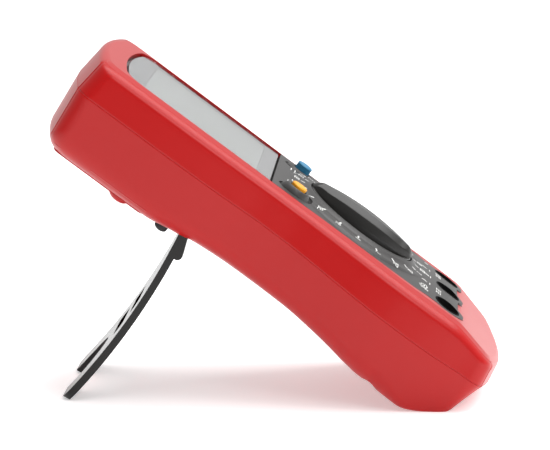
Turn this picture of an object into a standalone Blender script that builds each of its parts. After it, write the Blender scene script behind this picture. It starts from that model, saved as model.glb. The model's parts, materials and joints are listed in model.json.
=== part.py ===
"""Hand-held digital multimeter leaning back on its tilt stand, as separate named pieces.

The pieces are drawn in the meter's own frame, in millimetres: x to the meter's right, y towards the
display end, z out of the face. PLACE then leans that frame back onto the table, in metres with +Z up.
"""
import math

import bmesh
import bpy
from mathutils import Matrix, Vector

MM = 0.001
GAP = 0.3                    # clearance between neighbouring pieces

# Housing
HALF_WIDTH = 34.0            # at the parting line
TOP_Y = 71.4                 # middle of the display end, at the parting line
BOTTOM_Y = -73.7
TOP_SAG = 3.0                # how far the ends bulge past their corners
BOTTOM_SAG = 4.0
CORNER_R = 5.0
PARTING_Z = -10.4            # at the two ends; PARTING_LINE gives it in between
WALL = 2.0
FRONT_DRAFT = 0.14           # inset per mm of height
REAR_DRAFT = 0.13
FRONT_EDGE_R = 4.6
CHIN_Y = -54.6               # the face slopes back below this
CHIN_SLOPE = math.tan(math.radians(14.3))
# (y, z) of the back: the foot facet that stands on the table, then two thick ends and the waist between them
BACK_LINE = ((-78.0, -14.15), (-56.2, -28.3), (-54.0, -28.95), (-51.0, -29.15), (-47.0, -29.25), (-42.0, -29.25),
             (-39.8, -29.2), (-37.6, -28.9), (-34.4, -28.5), (-31.4, -28.0), (-26.2, -27.3),
             (-21.2, -26.8), (-18.0, -26.5), (-14.6, -26.3), (-11.4, -26.2), (5.4, -26.25), (8.6, -26.35),
             (13.4, -26.6), (18.6, -27.0), (22.0, -27.7), (25.2, -28.1), (28.4, -28.6), (31.6, -29.1),
             (34.4, -29.2), (78.0, -29.2))
# (y, mm) along the meter: how much the half width grows, where the parting line runs, the rear edge's radius
SWELL_LINE = ((-78.0, -0.9), (-64.0, -0.4), (-54.0, 0.4), (-46.0, 0.9), (-38.0, 1.0), (-30.0, 0.6), (-20.0, -0.4),
              (-10.0, -1.3), (0.0, -1.9), (8.0, -1.9), (18.0, -1.5), (30.0, -1.0), (44.0, -0.7), (78.0, -0.5))
PARTING_LINE = ((-78.0, -10.4), (-62.0, -10.5), (-54.0, -10.85), (-46.0, -11.0), (-36.0, -11.0), (-26.0, -10.8),
                (-14.0, -10.4), (-4.0, -10.1), (6.0, -10.05), (18.0, -10.3), (30.0, -10.45), (78.0, -10.4))
REAR_EDGE_LINE = ((-78.0, 1.1), (-57.0, 1.3), (-52.0, 3.6), (-42.0, 7.0), (78.0, 7.0))

# Face
FACE_HALF = 24.9             # half width of window and faceplate
WINDOW_TOP = 62.2            # middle of its bowed top edge
WINDOW_SAG = 1.8
WINDOW_BOTTOM = 10.5
WINDOW_CORNER_R = 6.0
LENS_TOP_Z = -0.9
LENS_THICK = 1.3
PLATE_TOP_Z = -0.2
PLATE_THICK = 2.4
COLLAR_R = 23.6              # the face rises in a low cone round the dial
COLLAR_TOP_Z = 1.0
PLATE_BOTTOM = -53.6
JACK_Y = -49.9
JACK_PITCH = 19.0
JACK_LOBE_R = 5.7
PLATE_NARROWS = 1.3          # how far the sides step in above the jacks
JACK_TOP_Z = 0.1
JACK_OUTER_R = 5.2
JACK_WELL_R = 4.1
JACK_WELL_FLOOR = -8.6
JACK_END_Z = -16.0
SLEEVE_R = 2.6
SLEEVE_BORE_R = 2.0
SLEEVE_END_Z = -18.6

DIAL_Y = -18.3
DIAL_R = 17.5
DIAL_RIM_Z = 1.4
DIAL_BASE_Z = -1.3
DIAL_RECESS_Z = -1.7
GRIP_TOP_Z = 5.6
GRIP_END_Z = 4.1
GRIP_HALF = 4.3
SCOOP_FLOOR_Z = -0.4
HUB_R = 4.4
HUB_END_Z = -7.2
ROTOR_R = 14.5
ROTOR_TOP_Z = -3.6
ROTOR_END_Z = -7.4

BUTTON_X = 17.7
BUTTON_Y = 3.0
BUTTON_R = 2.75
BUTTON_TOP_Z = 2.3
BUTTON_END_Z = -6.4
BUTTON_DISH = (5.4, 4.6, 1.0)  # half length, half width and depth of the finger dish

BOARD_TOP_Z = -8.4
BOARD_THICK = 1.6
BOARD_HALF = 29.0
BOARD_TOP_Y = 60.5
BOARD_BOTTOM_Y = -60.0
SCREW_SEAT_Z = -24.4         # where the case screws' heads bear
SCREW_SPOTS = ((26.8, -44.8), (-26.8, -44.8))

# Back
CELL_R = 5.25
CELL_LENGTH = 43.6
CELL_YS = (51.9, 40.7)
CELL_Z = -20.9
TRAY_HALF = 26.4
TRAY_Y = (33.9, 58.7)
TRAY_TOP_Z = -13.8
DOOR_HALF = 26.0
DOOR_Y = (33.4, 64.2)
DOOR_SCREW_Y = 61.3
DOOR_PAD_Z = (-26.9, -25.0)   # frame that carries the door's rim
DOOR_OUT_Z = -29.15
DOOR_THICK = 1.9
STAND_AXIS_Y = 21.6
STAND_AXIS_Z = -25.6
STAND_HALF = 23.6
STAND_THICK = 2.1
STAND_REACH = 59.8
STAND_BOW = 2.35
STAND_KICK = 1.8             # offset of the foot end from the hinge line
STAND_BARREL_R = 2.1
STAND_PIN_R = 0.9
STAND_SWING = math.radians(86.5)
POCKET_DEEP_Z = -20.1        # highest point of the stand pocket's roof
POCKET_WALL = 1.6

# Lean: the table cuts a thin flat off the body's rear corner and off the stand's feet
LEAN = math.radians(36.6686)
TABLE_DROP = 57.002          # mm from the meter frame's origin down to the table
TABLE_SHIFT = -8.3213         # puts the box's middle over the origin
PLACE = (Matrix.Translation((0, TABLE_SHIFT * MM, TABLE_DROP * MM))
         @ Matrix.Rotation(LEAN, 4, 'X'))

MATERIALS = {}


def material(name, colour, roughness, metallic=0.0, alpha=1.0):
    made = bpy.data.materials.new(name)
    made.use_nodes = True
    shader = made.node_tree.nodes["Principled BSDF"]
    shader.inputs["Base Color"].default_value = (*colour, 1.0)
    shader.inputs["Roughness"].default_value = roughness
    shader.inputs["Metallic"].default_value = metallic
    shader.inputs["Alpha"].default_value = alpha
    made.diffuse_color = (*colour, alpha)
    MATERIALS[name] = made


def make_materials():
    material("housing_red", (0.58, 0.02, 0.03), 0.42)
    material("panel_grey", (0.045, 0.045, 0.05), 0.5)
    material("window_clear", (0.75, 0.77, 0.78), 0.08, alpha=0.35)
    material("black_plastic", (0.018, 0.018, 0.02), 0.4)
    material("button_blue", (0.05, 0.28, 0.55), 0.4)
    material("button_yellow", (0.9, 0.55, 0.03), 0.4)
    material("display_glass", (0.42, 0.46, 0.42), 0.15)
    material("white_plastic", (0.75, 0.75, 0.72), 0.5)
    material("rubber_grey", (0.12, 0.12, 0.13), 0.8)
    material("board_green", (0.02, 0.16, 0.06), 0.5)
    material("brass", (0.75, 0.55, 0.22), 0.3, 1.0)
    material("steel", (0.6, 0.6, 0.62), 0.3, 1.0)
    material("chip_black", (0.02, 0.02, 0.022), 0.6)
    material("cell_jacket", (0.12, 0.3, 0.2), 0.35)
    material("fuse_glass", (0.8, 0.83, 0.85), 0.05, alpha=0.35)
    material("rubber_black", (0.02, 0.02, 0.02), 0.75)


def add(name, points, faces, slot=None, pivot=(0.0, 0.0, 0.0), smooth=False):
    """A mesh from millimetre points of the meter frame, with its origin at pivot and its normals out."""
    mesh = bpy.data.meshes.new(name)
    centre = Vector(pivot)
    mesh.from_pydata([(Vector(p) - centre) * MM for p in points], [], faces)
    tidy = bmesh.new()
    tidy.from_mesh(mesh)
    bmesh.ops.remove_doubles(tidy, verts=tidy.verts, dist=1e-7)
    bmesh.ops.recalc_face_normals(tidy, faces=tidy.faces)
    tidy.to_mesh(mesh)
    tidy.free()
    if smooth:
        for face in mesh.polygons:
            face.use_smooth = True
        mesh.set_sharp_from_angle(angle=math.radians(35))
    obj = bpy.data.objects.new(name, mesh)
    if slot:
        mesh.materials.append(MATERIALS[slot])
    obj.matrix_world = PLACE @ Matrix.Translation(centre * MM)
    bpy.context.scene.collection.objects.link(obj)
    return obj


def as_cutter(obj):
    obj.hide_render = True
    obj.display_type = 'WIRE'
    return obj


def boolean(target, other, operation):
    step = target.modifiers.new(other.name, 'BOOLEAN')
    step.operation = operation
    step.solver = 'EXACT'
    step.object = as_cutter(other)


def cut(target, *others):
    for other in others:
        boolean(target, other, 'DIFFERENCE')


def join(target, *others):
    for other in others:
        boolean(target, other, 'UNION')


def group(name, *pieces):
    """One mesh holding several pieces that don't touch, so that a single Boolean takes them all."""
    points = []
    faces = []
    for piece in pieces:
        start = len(points)
        points += [PLACE.inverted() @ piece.matrix_world @ v.co / MM for v in piece.data.vertices]
        faces += [tuple(start + i for i in face.vertices) for face in piece.data.polygons]
        bpy.data.objects.remove(piece)
    return add(name, points, faces)


def bevel(obj, width, segments=2, angle=40):
    step = obj.modifiers.new("soft_edges", 'BEVEL')
    step.width = width * MM
    step.segments = segments
    step.limit_method = 'ANGLE'
    step.angle_limit = math.radians(angle)
    step.harden_normals = False


def prism_mesh(outline, low, high):
    """Points and faces of an (x, y) outline drawn along z."""
    n = len(outline)
    points = [(x, y, low) for x, y in outline] + [(x, y, high) for x, y in outline]
    faces = [tuple(reversed(range(n))), tuple(range(n, 2 * n))]
    faces += [(i, (i + 1) % n, n + (i + 1) % n, n + i) for i in range(n)]
    return points, faces


def prism(name, outline, low, high, slot=None, pivot=(0.0, 0.0, 0.0)):
    return add(name, *prism_mesh(outline, low, high), slot, pivot)


def side_prism(name, outline, half, slot=None, pivot=(0.0, 0.0, 0.0), middle=0.0):
    """A (y, z) outline drawn along x."""
    points, faces = prism_mesh(outline, middle - half, middle + half)
    return add(name, [(x, y, z) for y, z, x in points], faces, slot, pivot)


def box(name, low, high, slot=None):
    outline = [(low[0], low[1]), (high[0], low[1]), (high[0], high[1]), (low[0], high[1])]
    return prism(name, outline, low[2], high[2], slot)


def circle(radius, count, centre=(0.0, 0.0), start=0.0, sweep=math.tau):
    ends = 0 if sweep >= math.tau else 1
    return [(centre[0] + radius * math.cos(start + sweep * i / (count - ends)),
             centre[1] + radius * math.sin(start + sweep * i / (count - ends))) for i in range(count)]


def rounded_rect(half_x, low_y, high_y, radius, steps=5):
    """Corners may share one radius or give four: low right, high right, high left, low left."""
    radii = (radius,) * 4 if isinstance(radius, (int, float)) else radius
    outline = []
    spots = ((half_x, low_y, 1, 1, -90), (half_x, high_y, 1, -1, 0),
             (-half_x, high_y, -1, -1, 90), (-half_x, low_y, -1, 1, 180))
    for (x, y, side, up, start), r in zip(spots, radii):
        if r <= 0:
            outline.append((x, y))
            continue
        outline += circle(r, steps + 1, (x - side * r, y + up * r), math.radians(start), math.pi / 2)
    return outline


def stack(name, rings):
    """Rings of equally many (x, y) points, each with its z, skinned into one closed body."""
    n = len(rings[0][0])
    points = [(x, y, z) for outline, z in rings for x, y in outline]
    faces = [tuple(reversed(range(n))), tuple(range(len(points) - n, len(points)))]
    for level in range(len(rings) - 1):
        for i in range(n):
            j = (i + 1) % n
            faces.append((level * n + i, level * n + j, (level + 1) * n + j, (level + 1) * n + i))
    return add(name, points, faces)


def lathe(name, profile, spot, slot=None, count=32, pivot=None, axis='Z'):
    """Turns an (r, along) profile about a line through spot. Off the axis, the profile is a closed loop."""
    if profile[0][0] > 0:
        profile = (*profile, profile[0])
    points = []
    rings = []
    for r, along in profile:
        if r == 0:
            rings.append([len(points)] * count)
            points.append((0.0, 0.0, along))
            continue
        rings.append(list(range(len(points), len(points) + count)))
        points += [(x, y, along) for x, y in circle(r, count)]
    if profile[0][0] > 0:
        rings[-1] = rings[0]
        points = points[:-count]
    faces = []
    for first, second in zip(rings, rings[1:]):
        for i in range(count):
            j = (i + 1) % count
            corners = []
            for corner in (first[i], first[j], second[j], second[i]):
                if corner not in corners:
                    corners.append(corner)
            faces.append(tuple(corners))
    if axis == 'X':
        points = [(z, x, y) for x, y, z in points]
    if axis == 'Y':
        points = [(y, z, x) for x, y, z in points]
    points = [(x + spot[0], y + spot[1], z + spot[2]) for x, y, z in points]
    return add(name, points, faces, slot, pivot or spot, smooth=True)


def rod(name, radius, low, high, spot, slot=None, count=32, axis='Z', pivot=None):
    return lathe(name, ((0, low), (radius, low), (radius, high), (0, high)), spot, slot, count, pivot, axis)


def pipe(name, path, radius, slot=None, sides=8):
    """A round wire along a path of points."""
    points = []
    faces = []
    normal = Vector((0.3, 0.9, 0.2))
    for i, spot in enumerate(path):
        before = Vector(path[max(i - 1, 0)])
        after = Vector(path[min(i + 1, len(path) - 1)])
        along = (after - before).normalized()
        normal = (normal - along * normal.dot(along)).normalized()
        other = along.cross(normal)
        for k in range(sides):
            turn = math.tau * k / sides
            points.append(Vector(spot) + (normal * math.cos(turn) + other * math.sin(turn)) * radius)
    for i in range(len(path) - 1):
        for k in range(sides):
            j = (k + 1) % sides
            faces.append((i * sides + k, i * sides + j, (i + 1) * sides + j, (i + 1) * sides + k))
    faces.append(tuple(reversed(range(sides))))
    faces.append(tuple(range((len(path) - 1) * sides, len(path) * sides)))
    return add(name, points, faces, slot, path[0], smooth=True)


# ---- Housing ----

SIDE_STATIONS = 26
END_STEPS = 4


def end_points(half_width, corner, y_end, sign, sag, steps):
    """The right half of a bowed end, from its middle round its corner to where the straight side starts."""
    tilt = math.atan2(2 * sag, half_width - corner)
    start_x = half_width - corner + corner * math.sin(tilt)
    points = [(start_x * i / steps, y_end - sign * sag * (i / steps) ** 2) for i in range(steps + 1)]
    centre = (half_width - corner, y_end - sign * (sag + corner * math.cos(tilt)))
    for i in range(1, steps + 1):
        turn = (math.pi / 2 - tilt) * (1 - i / steps)
        points.append((centre[0] + corner * math.cos(turn), centre[1] + sign * corner * math.sin(turn)))
    return points


def half_plan(half_width, top, bottom, corner, low_corner):
    """The right half of a plan outline, from the bottom's middle to the top's middle."""
    low = end_points(half_width, low_corner, bottom, -1, BOTTOM_SAG, END_STEPS)
    high = end_points(half_width, corner, top, 1, TOP_SAG, END_STEPS)
    first = low[-1][1]
    last = high[-1][1]
    side = [(half_width, first + (last - first) * i / SIDE_STATIONS) for i in range(1, SIDE_STATIONS)]
    return low + side + high[::-1]


def line_at(line, y):
    for (y0, z0), (y1, z1) in zip(line, line[1:]):
        if y <= y1:
            return z0 + (z1 - z0) * max(0.0, (y - y0) / (y1 - y0))
    return line[-1][1]


def front_line(y):
    return -max(0.0, CHIN_Y - y) * CHIN_SLOPE


def back_line(y):
    return line_at(BACK_LINE, y)


def rear_edge(y):
    return line_at(REAR_EDGE_LINE, y)


def front_edge(y):
    return FRONT_EDGE_R


def edge_inset(left, radius):
    """Inset of a rounded edge where left mm of depth remain before the cap."""
    if left >= radius:
        return 0.0
    return radius - math.sqrt(radius * radius - (radius - left) ** 2)


def shell_ring(level, cap, shrink, reach):
    """One closed ring of a shell, at level 0 on the parting line up to 1 at its cap."""
    used = reach["depth"] * level
    left = reach["depth"] - used
    side = shrink + reach["draft"] * used
    top = shrink + reach["top_draft"] * used + edge_inset(left, reach["top_r"])
    bottom = shrink + reach["bottom_draft"] * used + edge_inset(left, reach["bottom_r"])
    corner = max(1.5, CORNER_R - shrink * 0.8)
    low_corner = corner - reach["sharpened"] * level
    half = half_plan(HALF_WIDTH - side, TOP_Y - top, BOTTOM_Y + bottom, corner, low_corner)
    right = []
    for x, y in half:
        rim = line_at(PARTING_LINE, y) + reach["lift"]
        wide = line_at(SWELL_LINE, y) - edge_inset(left, max(0.8, reach["edge"](y) - reach["thinner"]))
        x *= 1 + wide / (HALF_WIDTH - side)
        right.append((x, y, rim + (cap(y) - rim) * level))
    return right + [(-x, y, z) for x, y, z in right[-2:0:-1]]


def cup(name, outer, inner, slot):
    """A closed cup from outer rings (rim to cap) and inner rings (rim to cap)."""
    n = len(outer[0])
    half = n // 2
    points = [p for ring in outer + inner for p in ring]
    faces = []

    def band(first, second):
        for i in range(n):
            j = (i + 1) % n
            faces.append((first * n + i, first * n + j, second * n + j, second * n + i))

    def cap(ring):
        start = ring * n
        faces.append((start, start + 1, start + n - 1))
        for i in range(1, half - 1):
            faces.append((start + i, start + i + 1, start + n - i - 1, start + n - i))
        faces.append((start + half - 1, start + half, start + half + 1))

    for i in range(len(outer) - 1):
        band(i, i + 1)
    cap(len(outer) - 1)
    for i in range(len(outer), len(points) // n - 1):
        band(i, i + 1)
    cap(len(points) // n - 1)
    band(0, len(outer))
    return add(name, points, faces, slot, smooth=True)


def make_housing():
    front = dict(lift=GAP / 2, depth=-PARTING_Z, draft=FRONT_DRAFT, edge=front_edge, thinner=0.0, sharpened=0.0,
                 top_draft=0.11, top_r=1.8, bottom_draft=0.1, bottom_r=1.7)
    levels = (0.0, 0.5, 0.62, 0.74, 0.85, 0.93, 0.98, 1.0)
    outer = [shell_ring(t, front_line, 0.0, front) for t in levels]
    thin = dict(front, thinner=1.6, top_r=1.0, bottom_r=1.0)
    inner = [shell_ring(t, lambda y: front_line(y) - 2.6, WALL, thin) for t in (0.0, 0.7, 1.0)]
    front_shell = cup("front_shell", outer, inner, "housing_red")

    rear = dict(lift=-GAP / 2, depth=18.8, draft=REAR_DRAFT, edge=rear_edge, thinner=0.0, sharpened=2.8,
                top_draft=0.09, top_r=4.2, bottom_draft=0.165, bottom_r=0.8)
    levels = (0.0, 0.45, 0.66, 0.76, 0.85, 0.92, 0.975, 1.0)
    outer = [shell_ring(t, back_line, 0.0, rear) for t in levels]
    thin = dict(rear, thinner=1.6, top_r=3.0, bottom_r=0.8, sharpened=1.2)
    inner = [shell_ring(t, lambda y: back_line(y) + WALL, WALL, thin) for t in (0.0, 0.6, 0.85, 1.0)]
    rear_shell = cup("rear_shell", outer, inner, "housing_red")
    return front_shell, rear_shell


def mirrored(right):
    """The whole outline whose right half starts at the top."""
    return (right + [(-x, y) for x, y in reversed(right) if x > 0])[::-1]


def window_top(grow):
    return end_points(FACE_HALF + grow, WINDOW_CORNER_R + grow, WINDOW_TOP + grow, 1, WINDOW_SAG, 7)


def face_outline(grow, top):
    """The faceplate's outline, from its top edge down to a lobe round each jack; top is its right half."""
    half = FACE_HALF + grow
    waist = half - PLATE_NARROWS
    r = JACK_LOBE_R + grow
    foot = math.asin((JACK_Y - PLATE_BOTTOM + grow) / r)
    side = math.acos((waist - JACK_PITCH) / r)
    right = top + [(half, -39.3), (waist, -42.9)]
    right += circle(r, 15, (JACK_PITCH, JACK_Y), side, foot - math.pi - side)
    right += circle(r, 9, (0.0, JACK_Y), -foot, foot - math.pi / 2)[:-1]
    return mirrored(right + [(0.0, JACK_Y - r)])


def make_face(front_shell):
    cut(front_shell, prism("face_opening", face_outline(GAP, window_top(GAP)), -6.0, 3.0))

    lens_outline = mirrored(window_top(0.0) + [(FACE_HALF, WINDOW_BOTTOM)])
    lens = prism("window_lens", lens_outline, LENS_TOP_Z - LENS_THICK, LENS_TOP_Z, "window_clear")
    bevel(lens, 0.3, 1)

    top_edge = [(FACE_HALF, WINDOW_BOTTOM - GAP)]
    plate = prism("faceplate", face_outline(0.0, top_edge), PLATE_TOP_Z - PLATE_THICK, PLATE_TOP_Z, "panel_grey")
    holes = [lathe("dial_recess", ((0, -6.0), (HUB_R + 0.4, -6.0), (HUB_R + 0.4, DIAL_RECESS_Z),
                                   (DIAL_R + 0.5, DIAL_RECESS_Z), (DIAL_R + 0.5, 3.0), (0, 3.0)),
                   (0, DIAL_Y, 0), count=56)]
    for side in (-1, 0, 1):
        holes.append(rod(f"jack_hole_{side + 1}", JACK_OUTER_R + GAP - 0.05, -6.0, 3.0,
                         (side * JACK_PITCH, JACK_Y, 0), count=36))
    long_half, wide_half, deep = BUTTON_DISH
    for side in (-1, 1):
        centre = (side * BUTTON_X, BUTTON_Y)
        bore = circle(BUTTON_R + GAP, 28, centre)
        dish = [(centre[0] + wide_half * x, centre[1] + long_half * y) for x, y in circle(1.0, 28)]
        holes.append(stack(f"button_hole_{side + 1}", ((bore, -6.0), (bore, PLATE_TOP_Z - deep),
                                                       (dish, PLATE_TOP_Z - deep), (dish, 3.0))))
    join(plate, lathe("dial_collar", ((0, -1.4), (COLLAR_R, -1.4), (COLLAR_R, PLATE_TOP_Z), (DIAL_R + 1.3, COLLAR_TOP_Z),
                                      (0, COLLAR_TOP_Z)), (0, DIAL_Y, 0), count=56))
    cut(plate, group("plate_holes", *holes))
    return plate


def grip_line(y):
    """Height of the grip's crest, arched along the meter."""
    along = y / DIAL_R
    return GRIP_TOP_Z - (GRIP_TOP_Z - GRIP_END_Z) * along * along


def make_dial():
    pivot = (0.0, DIAL_Y, 0.0)
    profile = ((0, HUB_END_Z), (HUB_R, HUB_END_Z), (HUB_R, DIAL_BASE_Z), (DIAL_R, DIAL_BASE_Z),
               (DIAL_R, DIAL_RIM_Z - 0.5), (DIAL_R - 0.5, DIAL_RIM_Z), (0, DIAL_RIM_Z))
    dial = lathe("dial_knob", profile, pivot, "black_plastic", 56)
    for side in (-1, 1):
        # A finger scoop: a flat-bottomed bowl cut into the disc beside the grip
        scoop = []
        rings = ((1.0, DIAL_RIM_Z + 2.0), (1.0, DIAL_RIM_Z), (0.88, DIAL_RIM_Z - 0.9), (0.66, SCOOP_FLOOR_Z))
        for scale, z in rings:
            for x, y in circle(DIAL_R - 1.6, 28, (0.0, 0.0), -math.pi / 2, math.pi):
                wide = max(0.0, x) * scale
                scoop.append((side * (GRIP_HALF - 1.6 + wide * 0.84), DIAL_Y + y * (0.3 + 0.7 * scale), z))
        n = 28
        faces = [tuple(range(n)), tuple(reversed(range(3 * n, 4 * n)))]
        for level in range(3):
            for i in range(n):
                j = (i + 1) % n
                faces.append((level * n + i, level * n + j, (level + 1) * n + j, (level + 1) * n + i))
        cut(dial, add(f"scoop_{side + 1}", scoop, faces))
    stations = 13
    points = []
    for i in range(stations):
        y = (DIAL_R - 0.35) * (2 * i / (stations - 1) - 1)
        edge = math.sqrt(max(0.0, (DIAL_R - 0.3) ** 2 - y * y))
        foot = min(edge, GRIP_HALF + 0.9 * (1 - (y / DIAL_R) ** 2))
        crest = min(edge, GRIP_HALF - 1.0)
        top = grip_line(y)
        points += [(-foot, DIAL_Y + y, -0.9), (-crest, DIAL_Y + y, top - 0.7), (-crest + 0.9, DIAL_Y + y, top),
                   (crest - 0.9, DIAL_Y + y, top), (crest, DIAL_Y + y, top - 0.7), (foot, DIAL_Y + y, -0.9)]
    faces = [tuple(range(6)), tuple(reversed(range(6 * stations - 6, 6 * stations)))]
    for i in range(stations - 1):
        for k in range(6):
            j = (k + 1) % 6
            faces.append((i * 6 + k, i * 6 + j, (i + 1) * 6 + j, (i + 1) * 6 + k))
    join(dial, add("grip_bar", points, faces))

    ring = ((HUB_R + GAP, ROTOR_END_Z), (ROTOR_R, ROTOR_END_Z), (ROTOR_R, ROTOR_TOP_Z), (HUB_R + GAP, ROTOR_TOP_Z))
    lathe("switch_rotor", ring, pivot, "white_plastic", 40)
    for i, turn in enumerate((0.0, 2.2, 4.1)):
        angle = math.radians(90) + turn
        centre = (9.0 * math.cos(angle), DIAL_Y + 9.0 * math.sin(angle))
        blade = []
        for along, lift in ((-3.4, -7.75), (-1.6, -7.75), (0.0, -8.05), (1.6, -7.75), (3.4, -7.75)):
            blade.append((along, lift))
        outline = blade + [(a, z + 0.22) for a, z in reversed(blade)]
        points, faces = prism_mesh(outline, -0.9, 0.9)
        turned = []
        for a, z, b in points:
            turned.append((centre[0] - a * math.sin(angle) + b * math.cos(angle),
                           centre[1] + a * math.cos(angle) + b * math.sin(angle), z))
        add(f"wiper_{i + 1}", turned, faces, "brass", pivot)
    return dial


def make_buttons():
    for side, name, slot in ((1, "button_right", "button_blue"), (-1, "button_left", "button_yellow")):
        spot = (side * BUTTON_X, BUTTON_Y, 0.0)
        profile = ((0, BUTTON_END_Z), (1.6, BUTTON_END_Z), (1.6, -3.7), (BUTTON_R + 0.9, -3.7),
                   (BUTTON_R + 0.9, -2.9), (BUTTON_R, -2.9), (BUTTON_R, BUTTON_TOP_Z - 0.45),
                   (BUTTON_R - 0.45, BUTTON_TOP_Z), (0, BUTTON_TOP_Z + 0.1))
        lathe(name, profile, spot, slot, 28)
        low = BOARD_TOP_Z + 0.1
        switch = box(f"tact_switch_{'right' if side > 0 else 'left'}",
                     (spot[0] - 2.2, spot[1] - 2.2, low), (spot[0] + 2.2, spot[1] + 2.2, low + 0.7), "chip_black")
        bevel(switch, 0.15, 1)


def make_jacks():
    for side, name in ((-1, "left"), (0, "middle"), (1, "right")):
        spot = (side * JACK_PITCH, JACK_Y, 0.0)
        profile = ((SLEEVE_R + GAP, JACK_END_Z), (JACK_OUTER_R - 0.9, JACK_END_Z), (JACK_OUTER_R - 0.9, -3.2),
                   (JACK_OUTER_R, -3.2), (JACK_OUTER_R, JACK_TOP_Z - 0.3), (JACK_OUTER_R - 0.3, JACK_TOP_Z),
                   (JACK_WELL_R + 0.2, JACK_TOP_Z), (JACK_WELL_R, JACK_TOP_Z - 0.2),
                   (JACK_WELL_R, -4.0), (JACK_WELL_R - 0.5, JACK_WELL_FLOOR), (SLEEVE_R + GAP, JACK_WELL_FLOOR))
        lathe(f"jack_shroud_{name}", profile, spot, "black_plastic", 36)
        sleeve = ((0, SLEEVE_END_Z), (SLEEVE_R, SLEEVE_END_Z), (SLEEVE_R, JACK_WELL_FLOOR + 0.3),
                  (SLEEVE_BORE_R, JACK_WELL_FLOOR + 0.3), (SLEEVE_BORE_R, SLEEVE_END_Z + 1.2),
                  (0, SLEEVE_END_Z + 1.2))
        lathe(f"jack_sleeve_{name}", sleeve, spot, "brass", 28)


def make_inside():
    board = prism("main_board", rounded_rect(BOARD_HALF, BOARD_BOTTOM_Y, BOARD_TOP_Y, 1.5, 2),
                  BOARD_TOP_Z - BOARD_THICK, BOARD_TOP_Z, "board_green")
    holes = [rod(f"board_jack_{side + 1}", JACK_OUTER_R - 0.6, -14.0, -4.0,
                 (side * JACK_PITCH, JACK_Y, 0), count=28) for side in (-1, 0, 1)]
    holes += [rod(f"board_notch_{i}", 3.9, -14.0, -4.0, (x, y, 0), count=20)
              for i, (x, y) in enumerate(SCREW_SPOTS)]
    cut(board, group("board_holes", *holes))

    low_y = WINDOW_BOTTOM + 5.0
    high_y = WINDOW_TOP - 8.0
    frame = box("display_frame", (-24.0, low_y - 1.6, -8.1), (24.0, high_y + 1.6, -4.9), "white_plastic")
    cut(frame, box("display_frame_hole", (-21.4, low_y + 2.4, -12.0), (21.4, high_y - 1.6, 0.0)))
    glass = box("display_glass", (-23.2, low_y - 0.6, -4.6), (23.2, high_y + 0.6, -2.7), "display_glass")
    bevel(glass, 0.2, 1)
    box("display_contact_strip", (-20.6, low_y - 4.2, -8.1), (20.6, low_y - 2.2, -4.9), "rubber_grey")

    chip = box("main_chip", (-6.5, -4.4, -12.2), (6.5, 8.6, -10.3), "chip_black")
    bevel(chip, 0.3, 1)
    amp = box("amplifier_chip", (9.5, -8.0, -11.9), (15.0, -3.5, -10.3), "chip_black")
    bevel(amp, 0.2, 1)
    rod("buzzer_disc", 8.5, -12.6, -10.3, (18.5, 14.0, 0), "brass", 32)
    rod("trimmer", 2.6, -12.4, -10.3, (-14.0, 12.0, 0), "steel", 20)
    rod("capacitor", 2.5, -8.0, 3.0, (-19.0, -4.0, -13.2), "chip_black", 20, 'Y')
    pipe("shunt_wire", [(-9.0, -44.0, -10.3), (-9.0, -44.0, -14.0), (-8.0, -42.8, -15.0), (0.0, -42.2, -15.0),
                        (8.0, -42.8, -15.0), (9.0, -44.0, -14.0), (9.0, -44.0, -10.3)], 0.8, "brass")

    # Fuse, lying across the meter in its two clips
    fuse_y = -31.5
    fuse_z = -14.4
    lathe("fuse", ((0, -10.0), (2.5, -10.0), (2.5, -5.0), (2.3, -5.0), (2.3, 5.0), (2.5, 5.0),
                   (2.5, 10.0), (0, 10.0)), (0, fuse_y, fuse_z), "fuse_glass", 24, axis='X')
    for side, name in ((-1, "left"), (1, "right")):
        arc = circle(2.85, 13, (fuse_y, fuse_z), math.radians(200), math.radians(-220))
        outside = circle(3.25, 13, (fuse_y, fuse_z), math.radians(200), math.radians(-220))
        clip = side_prism(f"fuse_clip_{name}", arc + outside[::-1], 1.9, "brass", middle=side * 7.4)
        join(clip, box(f"clip_foot_{name}", (side * 7.4 - 1.4, fuse_y - 1.6, fuse_z + 2.95),
                       (side * 7.4 + 1.4, fuse_y + 1.6, -10.3)))
    for side, name in ((-1, "left"), (1, "right")):
        rod(f"detent_ball_{name}", 1.4, -1.4, 1.4, (side * 16.7, DIAL_Y, -5.3), "steel", 12)


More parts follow.
